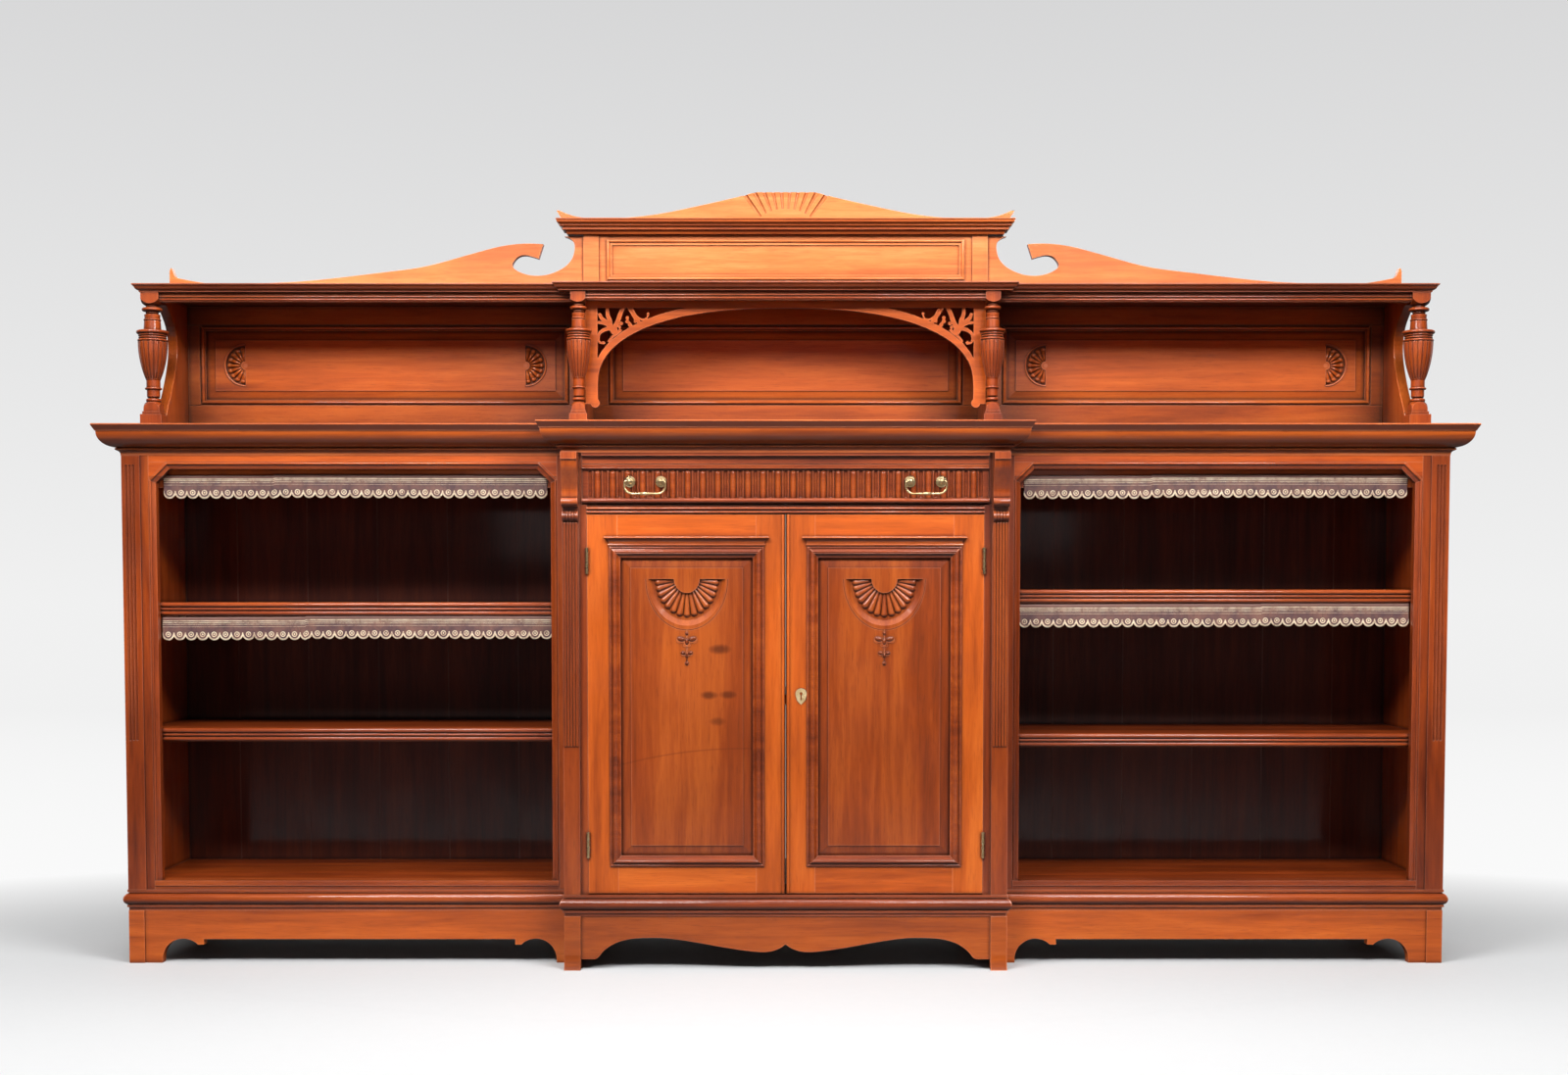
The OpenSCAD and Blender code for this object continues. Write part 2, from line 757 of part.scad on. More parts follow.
module drawer_box() {
    y0 = door_rear - 2 + joint;
    y1 = door_y + drawer_d;
    z0 = box_z;
    inner = side_x - drawer_side - joint;
    color(PALE) {
        both() block(side_x - drawer_side, side_x, y0, y1, z0, side_top);
        block(-inner, inner, y1 - drawer_side, y1, z0 + 6, side_top - 4);
        block(-inner, inner, y0, y1 - drawer_side - joint, z0 + 6, z0 + 6 + drawer_floor);
    }
}
// Roses, posts and the eyes that hold the bails
module handle_posts() {
    face = door_y - 2;
    bore = bail_r + 0.08;
    color(BRASS) both() for (s = [-1, 1]) translate([handle_x + s * post_gap / 2, face, post_z]) {
        rotate([90, 0, 0]) rotate_extrude() polygon([[0, 0], [11, 0], [11, 1.2], [9, 2.6], [6, 3], [4.2, 4],
            [2.6, 6], [2.6, post_out - 3], [0, post_out - 3]]);
        translate([0, -post_out, 0]) rotate([0, 90, 0]) rotate_extrude() polygon([[bore, -4.2], [3.4, -4.2],
            [eye_r, -2.2], [eye_r, 2.2], [3.4, 4.2], [bore, 4.2]]);
    }
}
// Swan-neck bail that hangs from its two eyes
module bail() {
    arm = post_gap / 2 + eye_r + run;
    turn_r = bail_half - arm;
    low_r = 15;
    x_eye = post_gap / 2 - eye_r + 1;
    color(BRASS) translate([handle_x, door_y - 2 - post_out, post_z]) {
        both() {
            translate([x_eye, 0, 0]) rotate([0, 90, 0]) cylinder(h = arm - x_eye, r = bail_r, $fn = 32);
            translate([arm, 0, -turn_r]) rotate([90, 0, 0])
                rotate_extrude(angle = 90) translate([turn_r, 0]) circle(bail_r, $fn = 32);
            translate([bail_half, 0, -bail_drop + low_r]) cylinder(h = bail_drop - low_r - turn_r, r = bail_r,
                $fn = 32);
            translate([bail_half - low_r, 0, -bail_drop + low_r]) rotate([90, 0, 0])
                rotate_extrude(angle = -90) translate([low_r, 0]) circle(bail_r, $fn = 32);
            translate([9, 0, -bail_drop]) rotate([0, 90, 0]) cylinder(h = bail_half - low_r - 9, r = bail_r,
                $fn = 32);
            translate([0, 0, -bail_drop]) rotate([0, 90, 0]) rotate_extrude() polygon([[0, 0], [3.6, 0],
                [3.2, 3], [2.6, 4.5], [3.4, 5.5], [3.4, 6.5], [2.4, 7.5], [2.9, 8.3], [2.2, 9], [0, 9]]);
        }
    }
}
module bail_left() {
    mirror([1, 0, 0]) bail();
}
module bail_right() {
    bail();
}

// Frame of the right door
module door_frame() {
    x0 = door_in;
    x1 = door_out;
    z0 = door_z;
    z1 = door_top;
    in_x = x0 + door_rail;
    out_x = x1 - door_rail - 2.5;
    color(PALE) {
        difference() {
            union() {
                block(x0, in_x, door_y, door_rear, z0, z1);
                translate([x0 + 3.5, door_y, z0]) difference() {
                    cylinder(h = z1 - z0, r = 3.2, $fn = 24);
                    block(-4, 4, 0, 4, -1, z1);
                }
            }
            children();
        }
        difference() {
            block(out_x, x1, door_y, door_rear, z0, z1);
            for (z = hinge_z) block(x1 - leaf_t, x1 + 1, door_y - 1, door_y + leaf_d,
                z - hinge_l / 2 - joint, z + hinge_l / 2 + joint);
        }
        block(in_x + joint, out_x - joint, door_y, door_rear, z0, z0 + bottom_rail);
        block(in_x + joint, out_x - joint, door_y, door_rear, z1 - top_rail, z1);
    }
}
door_px0 = door_in + door_rail;
door_px1 = door_out - door_rail - 2.5;
door_pz0 = door_z + bottom_rail;
door_pz1 = door_top - top_rail;
// Raised panel with a carved shell and husks, right door
module door_panel() {
    w = door_px1 - door_px0 - 2 * joint;
    h = door_pz1 - door_pz0 - 2 * joint;
    back = door_y + panel_drop + 8;
    field = 12.5;
    sunk = field - 6;
    shell_w = 75;
    shell_d = 90;
    hub_w = 25;
    hub_d = 27;
    slope = 9;
    color(PALE) upright(back) translate([door_px0 + joint, door_pz0 + joint, 0]) {
        difference() {
            fielded_panel(w, h, 8, 10.5, field, bolection_lap + field_in, bolection_lap);
            translate([w / 2, h - 47, sunk]) lower_half(shell_d + 1, 10) scale([1, shell_d / shell_w, 1])
                cylinder(h = field - sunk + 0.5, r1 = shell_w - slope, r2 = shell_w + slope / 12);
            translate([w / 2, h - 47, field - 1]) linear_extrude(2) difference() {
                half_oval(shell_w + 5, shell_d + 9);
                half_oval(shell_w + 3.6, shell_d + 7.6);
            }
        }
        translate([w / 2, h - 47, 0]) {
            translate([0, 0, 1]) lower_half(shell_d, field) translate([0, 0, sunk - 3])
                petals(15, 166, hub_w, hub_d - 1, shell_w - slope - 3, shell_d - 15, 3, 7.4);
            translate([0, 0, sunk - 1]) linear_extrude(field - sunk + 1) half_oval(hub_w, hub_d);
            translate([0, 0, field - 1]) linear_extrude(2.2) husks();
        }
    }
    module husks() {
        translate([-1, -122]) square([2, 24]);
        for (s = [-1, 1]) {
            translate([s * 14, -118]) circle(6, $fn = 24);
            translate([s * 7, -119]) circle(5, $fn = 24);
            translate([s * 4, -128]) circle(3.4, $fn = 24);
            translate([s * 7, -145]) circle(3.6, $fn = 24);
        }
        translate([0, -122]) circle(6, $fn = 24);
        translate([-1, -146]) square([2, 24]);
        translate([0, -146]) circle(4.5, $fn = 24);
        translate([0, -163]) circle(3.6, $fn = 24);
    }
}
// Bolection moulding round the panel and its cap strip, right door
module door_moulding() {
    x0 = door_px0 + bolection_lap;
    x1 = door_px1 - bolection_lap;
    z0 = door_pz0 + bolection_lap;
    z1 = door_pz1 - bolection_lap;
    cap_in = bolection_w;
    cap_lip = 3;
    cap_out = 9;
    module cap_section() {
        polygon([[-cap_lip, 0], [0, 0], [0, 6.4], [1.6, 7.2], [4.6, 9.6], [6.6, 12.8], [cap_out, 13.4],
            [cap_out, 17.6], [-cap_lip, 17.6]]);
    }
    color(MAHOGANY) {
        upright(door_y) moulding([[x0, z0], [x0, z1], [x1, z1], [x1, z0]], 0, bolection_w, true) union() {
            translate([0, -panel_drop + joint]) square([bolection_lap - joint, panel_drop]);
            polygon([[0, 0], [0, 2], [3, 3], [8, 8], [bolection_w - 6, 4], [bolection_w - 4, 2],
                [bolection_w, 2], [bolection_w, 0]]);
            translate([11, 5]) circle(3.4, $fn = 24);
            translate([bolection_w - 3, 2]) circle(2, $fn = 24);
        }
        moulding([[x1 + cap_in, door_y], [x1 + cap_in, door_y - cap_lip], [x0 - cap_in, door_y - cap_lip],
            [x0 - cap_in, door_y]], -cap_lip, cap_out) translate([0, z1 + bolection_w + joint])
                cap_section();
    }
}
// Knuckles and leaf of one hinge; own is 0 for the case leaf and 1 for the door leaf
module hinge_half(z, own) {
    step = hinge_l / knuckles;
    side = own == 0 ? 0 : -1;
    leaf_x = axis_x + (own == 0 ? door_edge / 2 : -door_edge / 2 - leaf_t);
    for (i = [own : 2 : knuckles - 1]) {
        z0 = z - hinge_l / 2 + i * step + (i == 0 ? 0 : run / 2);
        z1 = z - hinge_l / 2 + (i + 1) * step - (i == knuckles - 1 ? 0 : run / 2);
        translate([axis_x, axis_y, z0]) difference() {
            union() {
                cylinder(h = z1 - z0, r = axis_r, $fn = 32);
                block(leaf_x - axis_x, leaf_x - axis_x + leaf_t, 0, axis_r + 1, 0, z1 - z0);
            }
            translate([0, 0, -1])
                cylinder(h = z1 - z0 + 2, r = own == 0 ? pin_r - 0.3 : knuckle_bore, $fn = 32);
        }
    }
    block(leaf_x, leaf_x + leaf_t, axis_y + axis_r + 0.3, door_y + leaf_d - 1,
        z - hinge_l / 2, z + hinge_l / 2);
    if (own == 0) translate([axis_x, axis_y, z - hinge_l / 2]) cylinder(h = hinge_l, r = pin_r, $fn = 32);
}
module hinge_leaves() {
    color(BRASS) both() for (z = hinge_z) hinge_half(z, 0);
}
module door_hinges() {
    color(BRASS) for (z = hinge_z) hinge_half(z, 1);
}
module door_left_frame() {
    mirror([1, 0, 0]) door_frame() block(0, bolt_throw - door_in + 2, bolt_y - 0.5, bolt_y + bolt_t + 0.5,
        lock_z - bolt_h / 2 - 0.5, lock_z + bolt_h / 2 + 0.5);
}
module door_right_frame() {
    door_frame() {
        block(0, door_in + lock_w + run, door_rear - lock_t, door_rear + 1,
            lock_z - lock_h / 2 - run, lock_z + lock_h / 2 + run);
    }
}
module door_left_panel() {
    mirror([1, 0, 0]) door_panel();
}
module door_right_panel() {
    door_panel();
}
module door_left_moulding() {
    mirror([1, 0, 0]) door_moulding();
}
module door_right_moulding() {
    door_moulding();
}
module door_left_hinges() {
    mirror([1, 0, 0]) door_hinges();
}
module door_right_hinges() {
    door_hinges();
}
bolt_y = door_rear - lock_t + 3.5;
// Lock case let into the back of the right door, and the escutcheon on its face
module lock() {
    color(BRASS) {
        difference() {
            block(door_in, door_in + lock_w, door_rear - lock_t + run, door_rear,
                lock_z - lock_h / 2, lock_z + lock_h / 2);
            block(door_in - 1, door_in + lock_w - 6, bolt_y - run, bolt_y + bolt_t + run,
                lock_z - bolt_h / 2 - run, lock_z + bolt_h / 2 + run);
        }
        board(door_y - 1.5, 1.5) difference() {
            union() {
                translate([lock_x, lock_z + 4]) circle(11);
                polygon([[lock_x - 11, lock_z + 4], [lock_x + 11, lock_z + 4], [lock_x + 8, lock_z - 8],
                    [lock_x, lock_z - 17], [lock_x - 8, lock_z - 8]]);
            }
            translate([lock_x, lock_z + 5]) circle(3);
            translate([lock_x - 1.3, lock_z - 8]) square([2.6, 12]);
        }
    }
}
module lock_bolt() {
    color(BRASS) block(door_in, door_in + lock_w - 14, bolt_y, bolt_y + bolt_t,
        lock_z - bolt_h / 2, lock_z + bolt_h / 2);
}

// Back frame of the upper stage
wing_px0 = half_c + 26;
wing_px1 = upright_x - 25;
mid_px = inner_up - 30;
panel_z0 = top_z + 70;
panel_z1 = stage_z - 39;
module gallery_back() {
    color(PALE) {
        block(-upright_x + joint, upright_x - joint, gallery_y, rear_y, top_z, panel_z0);
        block(-upright_x + joint, upright_x - joint, gallery_y, rear_y, panel_z1, stage_z);
        block(-upright_x + joint, upright_x - joint, gallery_y - 8, gallery_y - joint, top_z, top_z + 22);
        both() block(wing_px1, upright_x - joint, gallery_y, rear_y, panel_z0 + joint, panel_z1 - joint);
        both() block(mid_px, wing_px0, gallery_y, rear_y, panel_z0 + joint, panel_z1 - joint);
    }
}
module framed_panel(x0, x1, z0, z1, fans = []) {
    w = x1 - x0;
    h = z1 - z0;
    frame_w = 12;
    field = 12;
    upright(rear_y - 4) translate([x0, z0, 0]) {
        difference() {
            translate([joint, joint, 0])
                fielded_panel(w - 2 * joint, h - 2 * joint, 8, 10, field, frame_w + 19, frame_w);
            for (f = fans) translate([f[0], h / 2, field - fan_sunk]) rotate([0, 0, f[1]])
                linear_extrude(fan_sunk + 1) half_oval(fan_r, fan_r);
        }
        for (f = fans) translate([f[0], h / 2, field - fan_sunk - 1]) rotate([0, 0, f[1]]) half_fan();
        translate([0, 0, 8]) moulding([[frame_w, frame_w], [frame_w, h - frame_w], [w - frame_w, h - frame_w],
            [w - frame_w, frame_w]], 0, frame_w - joint, true) union() {
                translate([0, joint]) square([frame_w, 8]);
                translate([frame_w / 2, 9]) circle(4.2, $fn = 24);
        }
    }
}
// A carved half fan in its sunk ground, flat side up
fan_r = 41;
fan_sunk = 3;
module half_fan() {
    lower_half(fan_r, 20) petals(11, 164, 8, 8, fan_r - 3, fan_r - 3, 1.1, 5);
    translate([0, 0, fan_sunk]) linear_extrude(2.2) difference() {
        half_oval(fan_r + 3.4, fan_r + 3.4);
        translate([0, 1]) half_oval(fan_r + 0.9, fan_r + 1.9);
    }
    linear_extrude(fan_sunk + 1) half_oval(9, 9);
}
module gallery_panels() {
    fan_in = 94;
    color(PALE) {
        both() framed_panel(wing_px0, wing_px1, panel_z0, panel_z1,
            [[fan_in, -90], [wing_px1 - wing_px0 - fan_in, 90]]);
        framed_panel(-mid_px, mid_px, panel_z0, panel_z1);
    }
}
// Shaped end boards and the two inner boards
module gallery_uprights() {
    z0 = top_z;
    z1 = stage_z;
    line = [[0, 0.08], [0.17, 0.18], [0.6, 0.36], [0.93, 0.54], [1, 0.67], [0.83, 0.8], [0.33, 0.91]];
    function edge(front) = smooth(concat([for (p = line) [front + p[0] * upright_cut, z0 + p[1] * column_h]],
        [[front + 0.12 * upright_cut, z1 - frieze_h - 1]]));
    outer = outer_y + foot_of(outer_belly) / 2 + joint;
    inner = column_y + foot_of(inner_belly) / 2 + joint;
    color(PALE) {
        both() side_board(upright_x, upright_x + upright_t) polygon(concat([[rear_y, z1], [rear_y, z0],
            [outer, z0]], edge(outer), [[outer + 0.12 * upright_cut, z1]]));
        both() side_board(inner_up, inner_up + upright_t) polygon(concat([[gallery_y - 8 - joint, z1],
            [gallery_y - 8 - joint, z0], [inner, z0]], edge(inner), [[inner + 0.12 * upright_cut, z1]]));
    }
}

// Turned and reeded column, k is its girth against the outer ones
function head_of(belly) = 36 * belly / 58;
function foot_of(belly) = 43 * belly / 58;
module column(x, y, belly) {
    k = belly / 58;
    s = column_h / 277;
    big = belly / 2;
    foot_r = 13.8 * k;
    vase_z = 102 * s;
    vase_h = 77 * s;
    swell = (pow(big - foot_r, 2) + pow(vase_h, 2)) / (2 * (big - foot_r));
    head_w = head_of(belly);
    color(MAHOGANY) translate([x, y, top_z]) {
        foot(foot_of(belly), 0, 33 * s);
        foot(36 * k, 33 * s, 39 * s);
        intersection() {
            foot(32 * k, 39 * s, 59 * s);
            translate([0, 0, 41 * s]) sphere(r = 22.6 * k);
        }
        intersection() {
            foot(head_w, 251 * s, column_h);
            translate([0, 0, column_h]) sphere(r = norm([head_w / 2, 22 * s]));
        }
        difference() {
            rotate_extrude() turning();
            for (i = [0 : reeds - 1]) rotate([0, 0, 360 * (i + 0.5) / reeds])
                translate([big - swell, 0, vase_z + vase_h]) rotate([90, 0, 0])
                    rotate_extrude(angle = -asin(vase_h / swell) + 1) translate([swell, 0])
                        circle(1.7 * k, $fn = 16);
        }
    }
    module foot(w, z0, z1) {
        block(-w / 2, w / 2, -w / 2, w / 2, z0, z1);
    }
    module ring(z, r, h) {
        translate([0, (z - h / 2) * s]) square([r * k - h * s / 2, h * s]);
        translate([r * k - h * s / 2, z * s]) circle(h * s / 2, $fn = 24);
    }
    module turning() {
        intersection() {
            union() {
                translate([0, 50 * s]) square([9 * k, 202 * s]);
                ring(62, 15, 8);
                ring(69.5, 12.6, 5);
                translate([0, 70 * s]) square([13 * k, 15 * s]);
                ring(85.5, 16.8, 4.4);
                translate([0, 86 * s]) square([13.8 * k, 17 * s]);
                translate([0, vase_z]) intersection() {
                    square([big, vase_h]);
                    translate([big - swell, vase_h]) circle(swell, $fn = 96);
                }
                ring(182, 29.8, 5);
                ring(187.5, 27.6, 4.4);
                ring(192.5, 28.2, 4.8);
                ring(198.5, 32, 7);
                polygon([[0, 200 * s], [17.6 * k, 200 * s], [17 * k, 208 * s], [16.2 * k, 221 * s],
                    [0, 221 * s]]);
                ring(223.5, 17.2, 4);
                polygon([[0, 224 * s], [15 * k, 225 * s], [15.8 * k, 234 * s], [0, 234 * s]]);
                ring(237.5, 12.8, 4.6);
                ring(244, 20.4, 7.4);
                ring(250, 12, 4.4);
            }
            translate([0, 50 * s]) square([big + 10, 202 * s]);
        }
    }
}
module column_outer_left() {
    column(-outer_x, outer_y, outer_belly);
}
module column_inner_left() {
    column(-inner_x, column_y, inner_belly);
}
module column_inner_right() {
    column(inner_x, column_y, inner_belly);
}
module column_outer_right() {
    column(outer_x, outer_y, outer_belly);
}

// Arch with pierced scrolls in its spandrels
arch_in = 24.5;
arch_t = 12;
arch_half = inner_up - arch_in;
arch_k = column_h / 277;
arch_spring = stage_z - 184 * arch_k;
arch_rise = 155 * arch_k;
module arch_fret() {
    power = 2.35;
    band_top = 17 * arch_k;
    band_side = 11 * arch_k;
    leg_h = 38 * arch_k;
    edge_x = inner_up - joint;
    leg_z = arch_spring - leg_h;
    top_h = arch_rise / arch_k;
    // each stem's half width at its root and tip, then points: how far in from the arch's side, how far up
    stems = [
        [4, 1.8, [[30, 114], [20, 113], [10, 109], [3.4, 102], [1.8, 93], [5, 85.5], [12, 84]]],
        [6, 3, [[35, 105], [28, 115], [18, 126], [9, 134], [4, 144]]],
        [5, 3, [[27, 117], [25, 130], [21, 141], [20, top_h + 2]]],
        [4, 2.4, [[23, 121], [12, 124.5], [-2, 126]]],
        [5.4, 3.6, [[31, 113], [39, 122], [43, 133], [47, 144], [54, top_h + 2]]],
        [3.2, 2, [[48, 112], [41, 105], [32, 98.5], [22, 87]]],
        [2.2, 3.4, [[61, 136], [61, 130], [65, 123], [69, 115]]],
        [5.2, 3.6, [[65, top_h + 2], [72, 145], [77, 136], [86, 124]]],
        [2.4, 1.5, [[73, 144], [81, 136.5], [91, 131.5], [100, 134.5], [103, 143]]]];
    beads = [[12.5, 85, 3.2], [48, 124, 3.6], [45, 116.5, 3], [60.6, 135.5, 3.4], [60, 127.5, 3.2],
        [66, 121, 4], [77.5, 128.5, 3.6], [84, 126.5, 3.6], [102.5, 143.5, 2.6], [34, 110, 7]];
    function arc(a, b) = [for (t = [0 : 5 : 180]) [a * sign(cos(t)) * pow(abs(cos(t)), 2 / power),
        arch_spring + b * pow(sin(t), 2 / power)]];
    function along(p, i) = unit(p[min(i + 1, len(p) - 1)] - p[max(i - 1, 0)]);
    function side(p, i, w) = p[i] + w * [-along(p, i)[1], along(p, i)[0]];
    function stem(p, root, tip) = let (n = len(p) - 1) concat(
        [for (i = [0 : n]) side(p, i, -root - (tip - root) * i / n)],
        [for (i = [n : -1 : 0]) side(p, i, root + (tip - root) * i / n)]);
    module under(a, b) {
        polygon(concat([[-a, leg_z - 20], [a, leg_z - 20]], arc(a, b)));
    }
    function place(p) = [arch_half - p[0] * arch_k, arch_spring + p[1] * arch_k];
    module foliage() {
        for (s = stems)
            polygon(stem(smooth([for (p = s[2]) place(p)], 3), s[0] * arch_k, s[1] * arch_k));
        for (b = beads) translate(place(b)) circle(b[2] * arch_k, $fn = 20);
    }
    color(PALE) board(column_y + inner_belly / 2 + run, arch_t) {
        difference() {
            translate([-edge_x, leg_z]) square([2 * edge_x, stage_z - leg_z]);
            under(arch_half, arch_rise);
            difference() {
                translate([-arch_half, leg_z]) square([2 * arch_half, arch_rise + leg_h]);
                under(arch_half + band_side, arch_rise + band_top);
            }
        }
        both2() {
            foliage();
            translate([arch_half + 5, leg_z + 2]) circle(9, $fn = 32);
        }
    }
}
module gallery_frieze() {
    z0 = stage_z - frieze_h;
    outer = head_of(outer_belly) / 2 + joint;
    inner = head_of(inner_belly) / 2 + joint;
    color(MAHOGANY) {
        both() side_board(inner_x + inner, outer_x - outer) frieze_section(outer_y - frieze_h / 2);
        side_board(-inner_x + inner, inner_x - inner) frieze_section(column_y - frieze_h / 2);
    }
    module frieze_section(y) {
        translate([y, z0]) square([frieze_h, frieze_h]);
        translate([y, z0 + 4]) circle(3, $fn = 24);
        translate([y, z0 + 10]) circle(2, $fn = 24);
    }
}
// Upper shelf with its nosing, and its step over the arch
module gallery_shelf() {
    nose = 6;
    w = shelf_half - nose;
    c = shelf_mid - nose;
    y = shelf_front + nose;
    path = [[shelf_half, rear_y], [shelf_half, shelf_front], [shelf_mid, shelf_front],
        [shelf_mid, shelf_front - shelf_step], [-shelf_mid, shelf_front - shelf_step],
        [-shelf_mid, shelf_front], [-shelf_half, shelf_front], [-shelf_half, rear_y]];
    color(MAHOGANY) {
        block(-w, w, y, rear_y, stage_z, shelf_top);
        block(-c, c, y - shelf_step, y - joint, stage_z, shelf_top);
        translate([0, 0, stage_z]) moulding(path, -nose + joint, 0) union() {
            translate([-nose, 0]) square([nose - 3, top_shelf_t]);
            translate([-top_shelf_t * 0.28, top_shelf_t * 0.72]) circle(top_shelf_t * 0.28);
            translate([-3 - top_shelf_t * 0.18, top_shelf_t * 0.25]) circle(top_shelf_t * 0.22);
        }
    }
}
// Crest board of the right wing: a long ogee up to a hook round a pierced scroll
module crest() {
    z = shelf_top;
    k = crest_h / 115;
    in_x = tablet_half + joint;
    function at(x, rise) = [x, z + rise * k];
    line = smooth([at(half_w - 2, 57), at(half_w - 6, 64), at(half_w - 14, 46), at(half_w - 29, 41),
        at(half_w - 74, 33), at(half_w - 101, 32), at(half_w - 266, 35), at(half_w - 452, 55),
        at(half_c + 326, 68), at(half_c + 233, 93), at(half_c + 171, 109), at(half_c + 122, 115),
        at(half_c + 80, 114)]);
    hook = smooth([at(half_c + 90, 84), at(half_c + 117, 91), at(half_c + 134, 87), at(half_c + 145, 73),
        at(half_c + 142, 63), at(half_c + 124, 53), at(half_c + 99, 48), at(half_c + 68, 51),
        at(half_c + 37, 65), at(half_c + 20, 83), at(half_c + 14, 104), at(half_c + 16, 118),
        at(half_c + 25, 126), at(half_c + 35, 130)]);
    color(PALE) board(crest_y, crest_t)
        polygon(concat([[half_w - 2, z]], line, hook, [[in_x, z + 130 * k], [in_x, z]]));
}
module crest_left() {
    mirror([1, 0, 0]) crest();
}
module crest_right() {
    crest();
}
module centre_tablet() {
    strip = 32;
    in_x = tablet_half - strip - 16;
    z0 = shelf_top + 37;
    z1 = tablet_z - 9;
    color(PALE) {
        block(-tablet_half, tablet_half, tablet_y, tablet_y + tablet_t, shelf_top, tablet_z);
        both() block(tablet_half - strip, tablet_half, tablet_y - 4, tablet_y - joint, shelf_top, tablet_z);
        upright(tablet_y - joint) {
            moulding([[-in_x + 12, z0 + 12], [-in_x + 12, z1 - 12], [in_x - 12, z1 - 12],
                [in_x - 12, z0 + 12]], 0, 12, true) union() {
                    square([12, 3]);
                    translate([8, 3]) circle(3, $fn = 24);
            }
        }
    }
}
module pediment_cornice() {
    half = tablet_half + cap_over;
    y0 = tablet_y - cap_front;
    y1 = tablet_y + tablet_t;
    path = [[half, y1], [half, y0], [-half, y0], [-half, y1]];
    out = 23;
    r = cap_h - 14;
    color(MAHOGANY) {
        block(-half, half, y0, y1, tablet_z, cap_z);
        translate([0, 0, tablet_z]) moulding(path, joint, out) difference() {
            union() {
                square([3, 6]);
                translate([0, 6]) square([out, cap_h - 6]);
            }
            translate([out, 6]) circle(r);
            translate([out - 2, -1]) square([10, 7]);
        }
    }
}
module pediment() {
    k = pediment_h / 60;
    half = tablet_half + cap_over + 25;
    function at(x, rise) = [x, cap_z + rise * k];
    edge = smooth([at(half, 22), at(half - 8, 21), at(half - 25, 14), at(half - 56, 7), at(359, 5),
        at(271, 14), at(190, 30), at(122, 45), at(81, 55), at(65, 60)], 3);
    color(PALE) difference() {
        board(crest_y, crest_t)
            polygon(concat([at(half - 14, 0)], edge, flip(edge), [at(-half + 14, 0)]));
        for (i = [0 : 9]) {
            a = -37 + 74 * i / 9;
            translate([0, crest_y - 1, cap_z - 60 * k]) rotate([0, a, 0]) translate([0, 0, 86 * k])
                cylinder(h = 60 * k, r1 = 2.6, r2 = 5.4, $fn = 24);
        }
    }
}

plinth_left();
plinth_right();
plinth_centre();
plinth_back();
base_moulding();
bottom_boards();
end_panel_left();
end_panel_right();
partition_left();
partition_right();
back_boards();
face_frame_left();
face_frame_right();
pilaster_left();
pilaster_right();
corbel_left();
corbel_right();
centre_rails();
counter_cornice();
counter_top();
shelf_upper_left();
shelf_lower_left();
shelf_upper_right();
shelf_lower_right();
cupboard_shelf();
shelf_pegs();
fringes_left();
fringes_right();
drawer_runners();
hinge_leaves();
gallery_back();
gallery_panels();
gallery_uprights();
column_outer_left();
column_inner_left();
column_inner_right();
column_outer_right();
arch_fret();
gallery_frieze();
gallery_shelf();
crest_left();
crest_right();
centre_tablet();
pediment_cornice();
pediment();
drawer_front();
drawer_box();
handle_posts();
bail_left();
bail_right();
door_left_frame();
door_left_panel();
door_left_moulding();
door_left_hinges();
door_right_frame();
door_right_panel();
door_right_moulding();
door_right_hinges();
lock();
lock_bolt();
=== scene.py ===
import json
import math
import random

import bmesh
import bpy
from mathutils import Matrix, Vector


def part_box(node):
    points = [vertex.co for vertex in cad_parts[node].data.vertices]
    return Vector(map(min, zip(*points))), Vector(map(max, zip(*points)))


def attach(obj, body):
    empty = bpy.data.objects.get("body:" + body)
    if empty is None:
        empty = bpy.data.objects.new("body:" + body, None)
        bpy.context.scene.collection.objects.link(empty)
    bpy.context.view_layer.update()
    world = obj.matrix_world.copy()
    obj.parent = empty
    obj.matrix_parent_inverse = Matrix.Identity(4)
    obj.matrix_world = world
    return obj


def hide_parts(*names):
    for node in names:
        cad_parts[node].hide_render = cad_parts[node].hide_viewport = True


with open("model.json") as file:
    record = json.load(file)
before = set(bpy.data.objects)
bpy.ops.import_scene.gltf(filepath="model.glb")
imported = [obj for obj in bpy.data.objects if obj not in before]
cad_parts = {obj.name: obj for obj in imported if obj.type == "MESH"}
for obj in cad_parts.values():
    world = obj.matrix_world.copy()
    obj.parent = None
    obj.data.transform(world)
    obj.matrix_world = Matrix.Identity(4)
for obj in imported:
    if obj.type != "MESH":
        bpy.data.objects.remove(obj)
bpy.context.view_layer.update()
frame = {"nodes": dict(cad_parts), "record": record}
nodes = frame["nodes"]
mm = 0.001
print("frame loaded with", len(nodes), "nodes")

